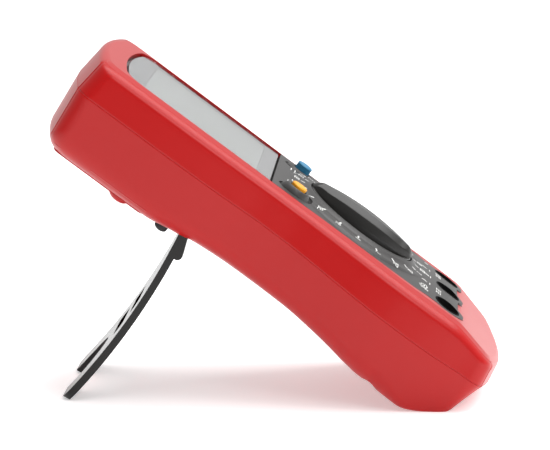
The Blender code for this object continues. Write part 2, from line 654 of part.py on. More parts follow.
def make_battery():
    tray = box("battery_tray", (-TRAY_HALF, TRAY_Y[0], DOOR_PAD_Z[1] + GAP), (TRAY_HALF, TRAY_Y[1], TRAY_TOP_Z),
               "black_plastic")
    cut(tray, box("tray_hollow", (-TRAY_HALF + 1.2, TRAY_Y[0] + 1.2, -40.0),
                  (TRAY_HALF - 1.2, TRAY_Y[1] - 1.2, TRAY_TOP_Z - 1.2)))
    for i, y in enumerate(CELL_YS):
        flip = -1 if i else 1
        name = ("upper", "lower")[i]
        reach = CELL_LENGTH / 2
        profile = [(0, -reach), (CELL_R - 0.4, -reach), (CELL_R, -reach + 0.4), (CELL_R, reach - 1.6),
                   (CELL_R - 0.5, reach - 1.0), (1.9, reach - 0.8), (1.9, reach), (0, reach)]
        if flip < 0:
            profile = [(r, -along) for r, along in reversed(profile)]
        lathe(f"cell_{name}", profile, (flip * 0.4, y, CELL_Z), "cell_jacket", 28, axis='X')
        turns = 3
        steps = 10 * turns
        path = []
        for k in range(steps + 1):
            turn = math.tau * k / 10
            radius = 3.4 - 1.4 * k / steps
            along = TRAY_HALF - 1.7 - 2.6 * k / steps
            path.append((-flip * along, y + radius * math.cos(turn), CELL_Z + radius * math.sin(turn)))
        pipe(f"cell_spring_{name}", path, 0.28, "steel", 6)
        outer = flip * (TRAY_HALF - 1.5)
        inner = flip * (TRAY_HALF - 2.0)
        box(f"cell_plate_{name}", (min(outer, inner), y - 3.6, CELL_Z - 3.6),
            (max(outer, inner), y + 3.6, CELL_Z + 3.6), "steel")

    door = prism("battery_door", rounded_rect(DOOR_HALF, DOOR_Y[0], DOOR_Y[1], 2.5, 3),
                 DOOR_OUT_Z, DOOR_OUT_Z + DOOR_THICK, "housing_red")
    for side in (-1, 1):
        nub = lathe(f"door_foot_{side + 1}", ((0, DOOR_OUT_Z - 2.0), (2.0, DOOR_OUT_Z - 1.8), (3.2, DOOR_OUT_Z - 0.5),
                                              (3.4, DOOR_OUT_Z + 0.6), (0, DOOR_OUT_Z + 0.6)),
                    (side * 20.5, 41.8, 0), None, 24)
        join(door, nub)
    seat = DOOR_OUT_Z + 1.3
    cut(door, lathe("door_screw_hole", ((0, -40.0), (2.6, -40.0), (2.6, seat), (1.5, seat), (1.5, -20.0), (0, -20.0)),
                    (0, DOOR_SCREW_Y, 0), count=24))
    screw("door_screw", 0.0, DOOR_SCREW_Y, DOOR_OUT_Z + 0.1, 2.3, -18.5, 1.2)
    return door


def screw(name, x, y, head_out, head_r, tip, shank_r, slot="steel"):
    """A cross-recess screw whose head faces -z."""
    profile = ((0, tip), (shank_r, tip - 0.5), (shank_r, head_out + 0.9), (head_r, head_out + 0.9),
               (head_r, head_out + 0.3), (head_r - 0.3, head_out), (0, head_out))
    body = lathe(name, profile, (x, y, 0), slot, 20)
    for k in range(2):
        wide = (head_r * 0.62, 0.3)[k]
        tall = (0.3, head_r * 0.62)[k]
        cut(body, box(f"{name}_slot_{k}", (x - wide, y - tall, head_out - 1.0), (x + wide, y + tall, head_out + 0.5)))


def stand_line(reach):
    """Offset of the stand's mid plane towards -y, at a distance from its hinge."""
    t = reach / STAND_REACH
    return STAND_KICK * t + 4 * STAND_BOW * t * (1 - t)


def stand_profile(thick, first, last, stations, grow=0.0):
    """(reach, offset) outline of the bowed plate, from first to last along its reach."""
    near = []
    far = []
    for i in range(stations + 1):
        reach = first + (last - first) * i / stations
        near.append((reach, stand_line(reach) - thick / 2 - grow))
        far.append((reach, stand_line(reach) + thick / 2 + grow))
    return near + far[::-1]


def open_spot(reach, offset):
    """(y, z) of a point of the open stand."""
    return (STAND_AXIS_Y - offset, STAND_AXIS_Z - reach)


def folded_spot(reach, offset):
    """(y, z) of a point of the stand when it is folded flat under the back."""
    turn = STAND_SWING
    return (STAND_AXIS_Y - reach * math.sin(turn) - offset * math.cos(turn),
            STAND_AXIS_Z - reach * math.cos(turn) + offset * math.sin(turn))


def make_stand():
    pivot = (0.0, STAND_AXIS_Y, STAND_AXIS_Z)
    outline = [open_spot(*p) for p in stand_profile(STAND_THICK, 0.4, STAND_REACH, 16)]
    stand = side_prism("tilt_stand", outline, STAND_HALF, "black_plastic", pivot)
    join(stand, rod("stand_barrel", STAND_BARREL_R, -STAND_HALF, STAND_HALF, pivot, count=24, axis='X'))
    block = [open_spot(*p) for p in ((1.0, 0.3), (7.4, 0.3), (7.4, 3.3), (1.0, 1.9))]
    for side in (-1, 1):
        join(stand, side_prism(f"stop_block_{side + 1}", block, 2.6, middle=side * (STAND_HALF - 2.61)))
    # Arch between the feet, rounded outer corners and two slots
    arch = [(-10.6, -90.0), (10.6, -90.0), (10.6, -80.0)]
    arch += circle(10.6, 13, (0.0, -80.0), 0.0, math.pi)[1:-1] + [(-10.6, -80.0)]
    points, faces = prism_mesh(arch, STAND_AXIS_Y - 12.0, STAND_AXIS_Y + 12.0)
    cut(stand, add("foot_arch", [(x, y, z) for x, z, y in points], faces))
    for i, (low, high) in enumerate(((-65.4, -60.4), (-57.4, -52.4))):
        slot = rounded_rect(10.6, low, high, 2.3, 4)
        points, faces = prism_mesh(slot, STAND_AXIS_Y - 12.0, STAND_AXIS_Y + 12.0)
        cut(stand, add(f"stand_slot_{i}", [(x, y, z) for x, z, y in points], faces))
    for side in (-1, 1):
        r = 5.0
        corner_x = side * STAND_HALF
        corner_z = STAND_AXIS_Z - STAND_REACH - 0.6
        rim = [(corner_x - side * r + side * r * math.sin(a), corner_z + r - r * math.cos(a))
               for a in (math.pi / 2 * i / 6 for i in range(7))]
        outline = [(corner_x + side * 4.0, corner_z - 4.0)] + [(corner_x - side * r, corner_z - 4.0)] + rim
        outline += [(corner_x + side * 4.0, corner_z + r)]
        points, faces = prism_mesh(outline, STAND_AXIS_Y - 12.0, STAND_AXIS_Y + 12.0)
        cut(stand, add(f"foot_corner_{side + 1}", [(x, y, z) for x, z, y in points], faces))
    cut(stand, rod("stand_bore", STAND_PIN_R + 0.06, -40.0, 40.0, pivot, count=20, axis='X'))
    reach = STAND_HALF + 1.6
    rod("stand_pin", STAND_PIN_R, -reach, reach, pivot, "steel", 20, axis='X')

    # The pocket that takes the folded stand, its hinge and its stop blocks
    room = 0.45
    inner = [folded_spot(*p) for p in stand_profile(STAND_THICK, 9.0, STAND_REACH + 1.0, 12, room)][13:]
    back = STAND_AXIS_Y + 3.2
    roof = inner + [(STAND_AXIS_Y - 8.6, POCKET_DEEP_Z - POCKET_WALL), (STAND_AXIS_Y - 1.0, POCKET_DEEP_Z - POCKET_WALL),
                    (back, STAND_AXIS_Z + 3.0)]
    pocket = [(roof[0][0], -45.0)] + roof + [(back, -45.0)]
    lining = [(roof[0][0] - POCKET_WALL, roof[0][1] - 0.6)] + [(y, z + POCKET_WALL) for y, z in roof[:-1]]
    lining += [(back + POCKET_WALL, STAND_AXIS_Z + 3.0 + POCKET_WALL)]
    floor = [(y, back_line(y) + 0.7) for y in (back + POCKET_WALL, 18.6, 8.6, -11.4, -21.2, -31.4, roof[0][0] - POCKET_WALL)]
    half = STAND_HALF + room
    liner = side_prism("pocket_liner", lining + floor, half + POCKET_WALL)
    return stand, liner, side_prism("stand_pocket", pocket, half)


def make_case_joints(front_shell, rear_shell, liner, pocket):
    """Posts and bosses for the case screws, the stand's pocket, the door opening and the rubber feet."""
    posts = []
    bosses = [liner]
    hollows = [pocket]
    for i, (x, y) in enumerate(SCREW_SPOTS):
        spot = (x, y, 0)
        rim = line_at(PARTING_LINE, y)
        posts.append(lathe(f"post_{i}", ((0, -3.6), (1.45, -3.6), (1.45, rim + GAP / 2),
                                         (3.2, rim + GAP / 2), (3.2, -1.6), (0, -1.6)), spot, count=24))
        bosses.append(rod(f"boss_{i}", 3.5, back_line(y) + 1.8, rim - GAP / 2, spot, count=24))
        hollows.append(lathe(f"boss_bore_{i}", ((0, -45.0), (2.7, -45.0), (2.7, SCREW_SEAT_Z), (1.7, SCREW_SEAT_Z),
                                                (1.7, 0.0), (0, 0.0)), spot, count=24))
        screw(f"case_screw_{i + 1}", x, y, SCREW_SEAT_Z - 1.2, 2.4, -4.4, 1.2)
    door = rounded_rect(DOOR_HALF + GAP, DOOR_Y[0] - GAP, DOOR_Y[1] + GAP, 2.7, 3)
    hatch = rounded_rect(TRAY_HALF - 1.2, TRAY_Y[0] + 1.2, TRAY_Y[1] - 1.2, 1.0, 3)
    ledge = DOOR_OUT_Z + DOOR_THICK + GAP
    low, high = DOOR_PAD_Z
    bosses.append(prism("door_pad", rounded_rect(29.4, DOOR_Y[0] - 2.0, DOOR_Y[1] + 1.4, (1.0, 6.0, 6.0, 1.0), 3),
                        low, high))
    hollows.append(stack("door_opening", ((door, -45.0), (door, ledge), (hatch, ledge), (hatch, -20.0))))
    for side, name in ((-1, "left"), (1, "right")):
        spot = (side * 21.5, 27.4, 0)
        z = back_line(spot[1])
        hollows.append(rod(f"foot_seat_{side + 1}", 2.3, -45.0, z + 1.0, spot, count=24))
        lathe(f"rubber_foot_{name}", ((0, z + 0.7), (1.95, z + 0.7), (1.95, z - 1.1), (1.2, z - 1.9), (0, z - 2.1)),
              spot, "rubber_black", 20)
    spot = (0, DOOR_SCREW_Y, 0)
    pin = (0, STAND_AXIS_Y, STAND_AXIS_Z)
    reach = STAND_HALF + 1.9
    join(front_shell, group("posts", *posts))
    join(rear_shell, group("bosses", *bosses), rod("door_boss", 2.4, DOOR_PAD_Z[1] - 0.6, -16.5, spot, count=24))
    cut(rear_shell, group("hollows", *hollows), rod("door_boss_bore", 1.3, -40.0, -10.0, spot, count=20),
        rod("pin_seats", STAND_PIN_R + 0.06, -reach, reach, pin, count=20, axis='X'))


def make_table_flats(rear_shell, stand):
    """Cuts away what would reach below the table, so that body and stand each rest on a real flat."""
    mesh_points, faces = prism_mesh([(-0.1, -0.2), (0.1, -0.2), (0.1, 0.2), (-0.1, 0.2)], -0.05, 0.0)
    mesh = bpy.data.meshes.new("table_trim")
    mesh.from_pydata(mesh_points, [], faces)
    trim = bpy.data.objects.new("table_trim", mesh)
    bpy.context.scene.collection.objects.link(trim)
    cut(rear_shell, trim)
    cut(stand, trim)


def main():
    for obj in list(bpy.data.objects):
        bpy.data.objects.remove(obj, do_unlink=True)
    bpy.context.scene.unit_settings.system = 'METRIC'
    make_materials()
    front_shell, rear_shell = make_housing()
    make_dial()
    make_buttons()
    make_jacks()
    make_inside()
    make_battery()
    stand, liner, pocket = make_stand()
    make_case_joints(front_shell, rear_shell, liner, pocket)
    make_face(front_shell)
    make_table_flats(rear_shell, stand)


main()
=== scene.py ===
"""The look of the digital multimeter: finer shells, face, dial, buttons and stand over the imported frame.

Pieces are drawn in the meter's own frame, in millimetres: x to the meter's right, y towards the display
end, z out of the face. PLACE, worked out from the dial's joint, leans that frame back onto the table.
"""
import json
import math

import bmesh
import bpy
from mathutils import Matrix, Vector


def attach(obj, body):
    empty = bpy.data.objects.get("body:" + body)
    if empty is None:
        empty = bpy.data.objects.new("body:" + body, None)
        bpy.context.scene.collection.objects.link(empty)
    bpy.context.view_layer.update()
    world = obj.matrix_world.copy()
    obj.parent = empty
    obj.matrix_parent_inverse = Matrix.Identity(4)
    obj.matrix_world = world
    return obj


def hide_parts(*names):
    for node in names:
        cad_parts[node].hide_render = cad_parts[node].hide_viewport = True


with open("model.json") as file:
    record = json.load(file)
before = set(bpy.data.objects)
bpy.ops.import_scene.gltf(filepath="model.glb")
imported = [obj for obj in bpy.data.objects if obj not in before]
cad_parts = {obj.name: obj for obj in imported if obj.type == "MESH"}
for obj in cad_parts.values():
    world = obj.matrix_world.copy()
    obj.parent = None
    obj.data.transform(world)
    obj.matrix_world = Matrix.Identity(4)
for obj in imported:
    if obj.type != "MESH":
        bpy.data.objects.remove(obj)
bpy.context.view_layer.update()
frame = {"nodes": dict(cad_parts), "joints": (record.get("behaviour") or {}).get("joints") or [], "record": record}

MM = 0.001
GAP = 0.3

# Housing
HALF_WIDTH = 34.0
TOP_Y = 71.4
BOTTOM_Y = -73.7
TOP_SAG = 3.0
BOTTOM_SAG = 4.0
CORNER_R = 5.0
FRONT_DEPTH = 10.4
REAR_DEPTH = 18.8
FRONT_DRAFT = 0.14
REAR_DRAFT = 0.13
WALL = 2.0
CHIN_Y = -54.6
CHIN_SLOPE = math.tan(math.radians(14.3))
SEAM = 0.015                 # half of the open seam between the two shells
# (y, value) pairs: the back's height, how far the sides swell, the seam's height, the back's edge radius
BACK_LINE = (
    (-78.0, -14.15), (-56.2, -28.3), (-54.0, -28.95), (-51.0, -29.15), (-47.0, -29.25), (-42.0, -29.25),
    (-39.8, -29.2), (-37.6, -28.9), (-34.4, -28.5), (-31.4, -28.0), (-26.2, -27.3),
    (-21.2, -26.8), (-18.0, -26.5), (-14.6, -26.3), (-11.4, -26.2), (5.4, -26.25), (8.6, -26.35),
    (13.4, -26.6), (18.6, -27.0), (22.0, -27.7), (25.2, -28.1), (28.4, -28.6), (31.6, -29.1),
    (34.4, -29.2), (78.0, -29.2),
)
SWELL_LINE = (
    (-78.0, -0.9), (-64.0, -0.4), (-54.0, 0.4), (-46.0, 0.85), (-38.0, 0.95), (-30.0, 0.55), (-20.0, -0.4),
    (-10.0, -1.3), (0.0, -1.9), (8.0, -1.9), (18.0, -1.5), (30.0, -1.0), (44.0, -0.7), (78.0, -0.5),
)
PARTING_LINE = (
    (-78.0, -10.4), (-62.0, -10.5), (-54.0, -10.85), (-46.0, -11.0), (-36.0, -11.0), (-26.0, -10.8),
    (-14.0, -10.4), (-4.0, -10.1), (6.0, -10.05), (18.0, -10.3), (30.0, -10.45), (78.0, -10.4),
)
REAR_EDGE_LINE = ((-78.0, 1.1), (-57.0, 1.3), (-52.0, 3.6), (-42.0, 7.0), (78.0, 7.0))

# Face
FACE_HALF = 24.9
WINDOW_TOP = 62.2
WINDOW_SAG = 1.8
WINDOW_BOTTOM = 10.5
WINDOW_CORNER_R = 6.0
DISPLAY_HALF = 21.6          # the clear part of the window, inside its mask
DISPLAY_LOW = WINDOW_BOTTOM + 5.0
DISPLAY_HIGH = WINDOW_TOP - 8.0
LENS_TOP_Z = -0.45
PLATE_TOP_Z = -0.05
CROWN = 0.9                  # how far the panel's middle stands above its sides
PLATE_THICK = 2.4
PLATE_BOTTOM = -53.6
PLATE_NARROWS = 1.3
DIAL_Y = -18.3
DIAL_R = 17.5
RING_R = 24.7                # raised ring that carries the printed scale
RING_Z = 0.95
COLLAR_R = 20.2
COLLAR_TOP_Z = 1.75
RECESS_R = DIAL_R + 0.4      # the hollow that the dial turns in
TICK_R = 20.2                # where the printed scale's ticks and numbers stand
NUMBER_R = 22.3
INK = 0.06                   # thickness of the print, and its height over the panel
JACK_Y = -49.9
JACK_PITCH = 19.0
JACK_LOBE_R = 5.7
JACK_TOP_Z = 0.1
JACK_OUTER_R = 5.2
JACK_WELL_R = 3.75
DIAL_RIM_Z = 1.95
GRIP_TOP_Z = 5.6
GRIP_END_Z = 4.1
HUB_R = 4.4
BUTTON_X = 17.7
BUTTON_Y = 3.0
BUTTON_R = 2.45
BUTTON_TOP_Z = 2.8
RIGHT_COLLAR = 0.45          # height of the right button's collar, as a part of the left one's

# Back
DOOR_HALF = 26.0
DOOR_Y = (33.4, 64.2)
DOOR_SCREW_Y = 61.3
DOOR_OUT_Z = -29.15
DOOR_THICK = 1.9
DOOR_PAD_Z = (-26.9, -25.0)
TRAY_HALF = 26.4
TRAY_Y = (33.9, 58.7)
SCREW_SPOTS = ((26.8, -44.8), (-26.8, -44.8))
SCREW_SEAT_Z = -24.4
FOOT_SPOTS = ((21.5, 27.4), (-21.5, 27.4))
STAND_AXIS_Y = 21.6
STAND_AXIS_Z = -25.6
STAND_HALF = 23.6
BARREL_R = 2.1
ARCH_HALF = 10.6             # half width of the arch and of both slots
STAND_THICK = 2.1
STAND_REACH = 59.8
STAND_BOW = 2.35
STAND_KICK = 1.8
STAND_SWING = math.radians(86.5)
POCKET_ROOF_Z = -21.7
POCKET_ROOM = 0.45
POCKET_WALL = 1.6

# The view: a long lens on the meter's left, a little above it
CAMERA_LENS = 183.21
CAMERA_SENSOR = 36
CAMERA_SPOT = (-783.97, 53.21, 125.12)
CAMERA_RIGHT = (0.05182, -0.80203, 0.59503)
CAMERA_UP = (0.17861, 0.59366, 0.78464)
CAMERA_FORWARD = (0.98256, -0.06562, -0.17401)

joints = {joint["name"]: joint for joint in frame["joints"]}
face_axis = Vector(joints["dial_turn"]["axis"])
TURN = Matrix.Rotation(math.atan2(-face_axis.y, face_axis.z), 4, 'X')
PLACE = Matrix.Translation(Vector(joints["dial_turn"]["pos_m"]) - TURN @ Vector((0, DIAL_Y * MM, 0))) @ TURN


# ---- Materials ----

ROUGHNESS_SPREAD = 0.02
GRAIN_DEPTH = 0.00004        # metres


def surface(name, colour, roughness, metallic=0.0, grain=0.0, grain_mm=0.25, tint=0.0, specular=0.5):
    """A Principled surface with grain, sheen and small colour changes from noise in the piece's own space."""
    made = bpy.data.materials.new(name)
    made.use_nodes = True
    nodes = made.node_tree.nodes
    links = made.node_tree.links
    shader = nodes["Principled BSDF"]
    shader.inputs["Base Color"].default_value = (*colour, 1.0)
    shader.inputs["Metallic"].default_value = metallic
    shader.inputs["Specular IOR Level"].default_value = specular
    place = nodes.new("ShaderNodeTexCoord")
    broad = nodes.new("ShaderNodeTexNoise")
    broad.inputs["Scale"].default_value = 45.0
    broad.inputs["Detail"].default_value = 3.0
    links.new(place.outputs["Object"], broad.inputs["Vector"])
    level = nodes.new("ShaderNodeMapRange")
    level.inputs["To Min"].default_value = roughness - ROUGHNESS_SPREAD
    level.inputs["To Max"].default_value = roughness + ROUGHNESS_SPREAD
    links.new(broad.outputs["Fac"], level.inputs["Value"])
    links.new(level.outputs["Result"], shader.inputs["Roughness"])
    if tint:
        ramp = nodes.new("ShaderNodeValToRGB")
        ramp.color_ramp.elements[0].position = 0.3
        ramp.color_ramp.elements[1].position = 0.7
        ramp.color_ramp.elements[0].color = (*[c * (1 - tint) for c in colour], 1.0)
        ramp.color_ramp.elements[1].color = (*[min(1.0, c * (1 + tint)) for c in colour], 1.0)
        links.new(broad.outputs["Fac"], ramp.inputs["Fac"])
        links.new(ramp.outputs["Color"], shader.inputs["Base Color"])
    if grain:
        fine = nodes.new("ShaderNodeTexNoise")
        fine.inputs["Scale"].default_value = 1.0 / (grain_mm * MM)
        fine.inputs["Detail"].default_value = 2.0
        links.new(place.outputs["Object"], fine.inputs["Vector"])
        bump = nodes.new("ShaderNodeBump")
        bump.inputs["Strength"].default_value = grain
        bump.inputs["Distance"].default_value = GRAIN_DEPTH
        links.new(fine.outputs["Fac"], bump.inputs["Height"])
        links.new(bump.outputs["Normal"], shader.inputs["Normal"])
    return made


def clear(name, colour, roughness):
    """A surface that lets light through, as glass or clear plastic does."""
    made = surface(name, colour, roughness)
    shader = made.node_tree.nodes["Principled BSDF"]
    shader.inputs["Transmission Weight"].default_value = 1.0
    shader.inputs["IOR"].default_value = 1.49
    return made


MATERIALS = {
    "housing_red": surface("housing_red", (0.425, 0.0032, 0.0032), 0.3, grain=0.06, grain_mm=0.3,
                           specular=0.33),
    "panel_grey": surface("panel_grey", (0.03, 0.028, 0.027), 0.42, grain=0.2, grain_mm=0.2, tint=0.05),
    "window_clear": clear("window_clear", (0.93, 0.94, 0.95), 0.04),
    "black_plastic": surface("black_plastic", (0.006, 0.0055, 0.005), 0.26, grain=0.15, tint=0.05),
    "button_blue": surface("button_blue", (0.03, 0.2, 0.36), 0.42, tint=0.03),
    "button_yellow": surface("button_yellow", (0.85, 0.36, 0.015), 0.42, tint=0.03),
    "display_glass": surface("display_glass", (0.33, 0.36, 0.33), 0.15, tint=0.02),
    "white_plastic": surface("white_plastic", (0.75, 0.75, 0.72), 0.5, tint=0.03),
    "rubber_grey": surface("rubber_grey", (0.12, 0.12, 0.13), 0.8, grain=0.3),
    "board_green": surface("board_green", (0.02, 0.16, 0.06), 0.4, tint=0.12),
    "brass": surface("brass", (0.75, 0.55, 0.22), 0.28, metallic=1.0, tint=0.04),
    "steel": surface("steel", (0.6, 0.6, 0.62), 0.3, metallic=1.0, tint=0.04),
    "chip_black": surface("chip_black", (0.02, 0.02, 0.022), 0.6, grain=0.3),
    "cell_jacket": surface("cell_jacket", (0.12, 0.3, 0.2), 0.35, tint=0.05),
    "fuse_glass": clear("fuse_glass", (0.85, 0.88, 0.9), 0.05),
    "rubber_black": surface("rubber_black", (0.02, 0.02, 0.02), 0.7, grain=0.4),
    # A darker, less glossy copy of black_plastic for the socket rings: painted shade for the deep socket wells.
    "socket_shade_black": surface("socket_shade_black", (0.003, 0.003, 0.003), 0.85, tint=0.05, specular=0.15),
    "stand_black": surface("stand_black", (0.006, 0.0055, 0.005), 0.24, tint=0.05, specular=0.32),
    "dial_black": surface("dial_black", (0.012, 0.011, 0.01), 0.3, tint=0.05),
    "mask_grey": surface("mask_grey", (0.1, 0.1, 0.105), 0.5, tint=0.03),
    "print_white": surface("print_white", (0.8, 0.8, 0.78), 0.5, tint=0.04),
    "segment_dark": surface("segment_dark", (0.2, 0.22, 0.2), 0.3, tint=0.03),
}


# ---- Mesh helpers ----

def make(name, points, faces, smooth=35.0):
    """A mesh object from millimetre points of the meter frame, welded, with its normals out."""
    mesh = bpy.data.meshes.new(name)
    mesh.from_pydata([Vector(p) * MM for p in points], [], faces)
    tidy = bmesh.new()
    tidy.from_mesh(mesh)
    bmesh.ops.remove_doubles(tidy, verts=tidy.verts, dist=2e-7)
    bmesh.ops.recalc_face_normals(tidy, faces=tidy.faces)
    tidy.to_mesh(mesh)
    tidy.free()
    obj = bpy.data.objects.new(name, mesh)
    obj.matrix_world = PLACE
    bpy.context.scene.collection.objects.link(obj)
    shade(obj, smooth)
    return obj


def shade(obj, angle):
    """Smooth shading, broken where faces meet at more than the angle in degrees."""
    for face in obj.data.polygons:
        face.use_smooth = True
    obj.data.set_sharp_from_angle(angle=math.radians(angle))


def combine(obj, others, operation, smooth=35.0):
    """Boolean obj with each of the others in turn, and keep only the result."""
    for other in others:
        step = obj.modifiers.new("step", 'BOOLEAN')
        step.operation = operation
        step.solver = 'EXACT'
        step.object = other
    bpy.context.view_layer.update()
    graph = bpy.context.evaluated_depsgraph_get()
    result = bpy.data.meshes.new_from_object(obj.evaluated_get(graph))
    obj.modifiers.clear()
    old = obj.data
    obj.data = result
    bpy.data.meshes.remove(old)
    for other in others:
        bpy.data.objects.remove(other, do_unlink=True)
    shade(obj, smooth)
    return obj


def soften(obj, width, segments=3, angle=40.0):
    """Rounds the edges that are sharper than the angle, by a bevel width mm wide."""
    step = obj.modifiers.new("soft_edges", 'BEVEL')
    step.width = width * MM
    step.segments = segments
    step.limit_method = 'ANGLE'
    step.angle_limit = math.radians(angle)
    step.harden_normals = True
    return obj


def finish(obj, slot, body, *replaced, material=None):
    """Puts a piece where it belongs in the shared frame, gives it its look and ties it to its body."""
    obj.data.transform(obj.matrix_world)
    obj.matrix_world = Matrix.Identity(4)
    obj.data.materials.clear()
    obj.data.materials.append(MATERIALS[material or slot])
    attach(obj, body)
    if replaced:
        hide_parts(*replaced)
    return obj


def circle(radius, count, centre=(0.0, 0.0), start=0.0, sweep=math.tau):
    ends = 0 if sweep >= math.tau else 1
    return [(centre[0] + radius * math.cos(start + sweep * i / (count - ends)),
             centre[1] + radius * math.sin(start + sweep * i / (count - ends))) for i in range(count)]


def rounded_rect(half_x, low_y, high_y, radius, steps=8):
    outline = []
    spots = ((half_x, low_y, 1, 1, -90), (half_x, high_y, 1, -1, 0),
             (-half_x, high_y, -1, -1, 90), (-half_x, low_y, -1, 1, 180))
    for x, y, side, up, start in spots:
        centre = (x - side * radius, y + up * radius)
        outline += circle(radius, steps + 1, centre, math.radians(start), math.pi / 2)
    return outline


def skin(name, rings, smooth=35.0):
    """Rings of equally many points, joined into one closed body with flat ends."""
    n = len(rings[0])
    points = [point for ring in rings for point in ring]
    faces = [tuple(reversed(range(n))), tuple(range(len(points) - n, len(points)))]
    for level in range(len(rings) - 1):
        for i in range(n):
            j = (i + 1) % n
            faces.append((level * n + i, level * n + j, (level + 1) * n + j, (level + 1) * n + i))
    return make(name, points, faces, smooth)


def prism(name, outline, low, high, smooth=35.0):
    """An (x, y) outline drawn along z."""
    return skin(name, [[(x, y, z) for x, y in outline] for z in (low, high)], smooth)


def side_prism(name, outline, half, middle=0.0, smooth=35.0):
    """A (y, z) outline drawn along x."""
    return skin(name, [[(x, y, z) for y, z in outline] for x in (middle - half, middle + half)], smooth)


def end_prism(name, outline, low, high, smooth=35.0):
    """An (x, z) outline drawn along y."""
    return skin(name, [[(x, y, z) for x, z in outline] for y in (low, high)], smooth)


def lathe(name, profile, spot, count=96, axis='Z', smooth=35.0):
    """Turns an (r, along) profile about a line through spot. Off the axis, the profile is a closed loop."""
    closed = profile[0][0] > 0
    rings = []
    points = []
    for r, along in profile:
        if r == 0:
            rings.append([len(points)] * count)
            points.append((0.0, 0.0, along))
            continue
        rings.append(list(range(len(points), len(points) + count)))
        points += [(x, y, along) for x, y in circle(r, count)]
    if closed:
        rings.append(rings[0])
    faces = []
    for first, second in zip(rings, rings[1:]):
        for i in range(count):
            j = (i + 1) % count
            corners = []
            for corner in (first[i], first[j], second[j], second[i]):
                if corner not in corners:
                    corners.append(corner)
            faces.append(tuple(corners))
    if axis == 'X':
        points = [(z, x, y) for x, y, z in points]
    return make(name, [(x + spot[0], y + spot[1], z + spot[2]) for x, y, z in points], faces, smooth)


def rounded(profile, radius, steps=5):
    """The profile with each inner corner replaced by a short arc-like curve."""
    made = [profile[0]]
    for before, here, after in zip(profile, profile[1:], profile[2:]):
        a = Vector(before) - Vector(here)
        b = Vector(after) - Vector(here)
        reach = min(radius, a.length * 0.45, b.length * 0.45)
        start = Vector(here) + a.normalized() * reach
        end = Vector(here) + b.normalized() * reach
        for i in range(steps + 1):
            t = i / steps
            made.append(tuple(start * (1 - t) ** 2 + Vector(here) * 2 * t * (1 - t) + end * t * t))
    return made + [profile[-1]]


# ---- Housing ----

def smooth_line(line):
    """A smooth curve through the (y, value) points that doesn't overshoot them."""
    ys = [p[0] for p in line]
    values = [p[1] for p in line]
    slopes = [(values[i + 1] - values[i]) / (ys[i + 1] - ys[i]) for i in range(len(ys) - 1)]
    tangents = [slopes[0]]
    for before, after in zip(slopes, slopes[1:]):
        tangents.append(0.0 if before * after <= 0 else 2 * before * after / (before + after))
    tangents.append(slopes[-1])

    def at(y):
        y = min(max(y, ys[0]), ys[-1])
        i = 0
        while y > ys[i + 1]:
            i += 1
        h = ys[i + 1] - ys[i]
        t = (y - ys[i]) / h
        return ((1 + 2 * t) * (1 - t) ** 2 * values[i] + t * (1 - t) ** 2 * h * tangents[i]
                + t * t * (3 - 2 * t) * values[i + 1] + t * t * (t - 1) * h * tangents[i + 1])
    return at


back_line = smooth_line(BACK_LINE)
swell = smooth_line(SWELL_LINE)
parting = smooth_line(PARTING_LINE)
rear_edge = smooth_line(REAR_EDGE_LINE)

END_STEPS = 14
CORNER_STEPS = 12
SIDE_STEPS = 112
GROOVE_HALF = 0.6
GROOVE_DEEP = 0.75
BLEND = 0.8                  # softens the crease where the chin starts


def front_line(y):
    """The face's height: level, then sloping back over the chin through a small bend."""
    past = (CHIN_Y - y) / BLEND
    eased = max(past, 0.0) + math.log1p(math.exp(-abs(past)))
    return -eased * BLEND * CHIN_SLOPE


def bowed_end(half_width, corner, y_end, sign, sag, steps, turns):
    """(x, y, groove) from a bowed end's middle round its corner; the groove runs where the two meet."""
    tilt = math.atan2(2 * sag, half_width - corner)
    start_x = half_width - corner + corner * math.sin(tilt)
    last = 1 - GROOVE_HALF / start_x
    points = [(start_x * last * i / steps, y_end - sign * sag * (last * i / steps) ** 2, 0.0)
              for i in range(steps + 1)]
    points.append((start_x, y_end - sign * sag, 1.0))
    centre = (half_width - corner, y_end - sign * (sag + corner * math.cos(tilt)))
    whole = math.pi / 2 - tilt
    first = min(0.3, GROOVE_HALF / corner / whole)
    for i in range(turns + 1):
        turn = whole * (1 - first - (1 - first) * i / turns)
        points.append((centre[0] + corner * math.cos(turn), centre[1] + sign * corner * math.sin(turn), 0.0))
    return points


def half_plan(half_width, top, bottom, corner, low_corner):
    """The right half of a plan outline, from the bottom's middle to the top's middle."""
    low = bowed_end(half_width, low_corner, bottom, -1, BOTTOM_SAG, END_STEPS, CORNER_STEPS)
    high = bowed_end(half_width, corner, top, 1, TOP_SAG, END_STEPS, CORNER_STEPS)
    first = low[-1][1]
    last = high[-1][1]
    side = [(half_width, first + (last - first) * i / SIDE_STEPS, 0.0) for i in range(1, SIDE_STEPS)]
    return low + side + high[::-1]


def arc_inset(left, radius):
    """How far an edge rounded by radius has turned in, left mm before its end."""
    if left >= radius:
        return 0.0
    return radius - math.sqrt(radius * radius - (radius - left) ** 2)


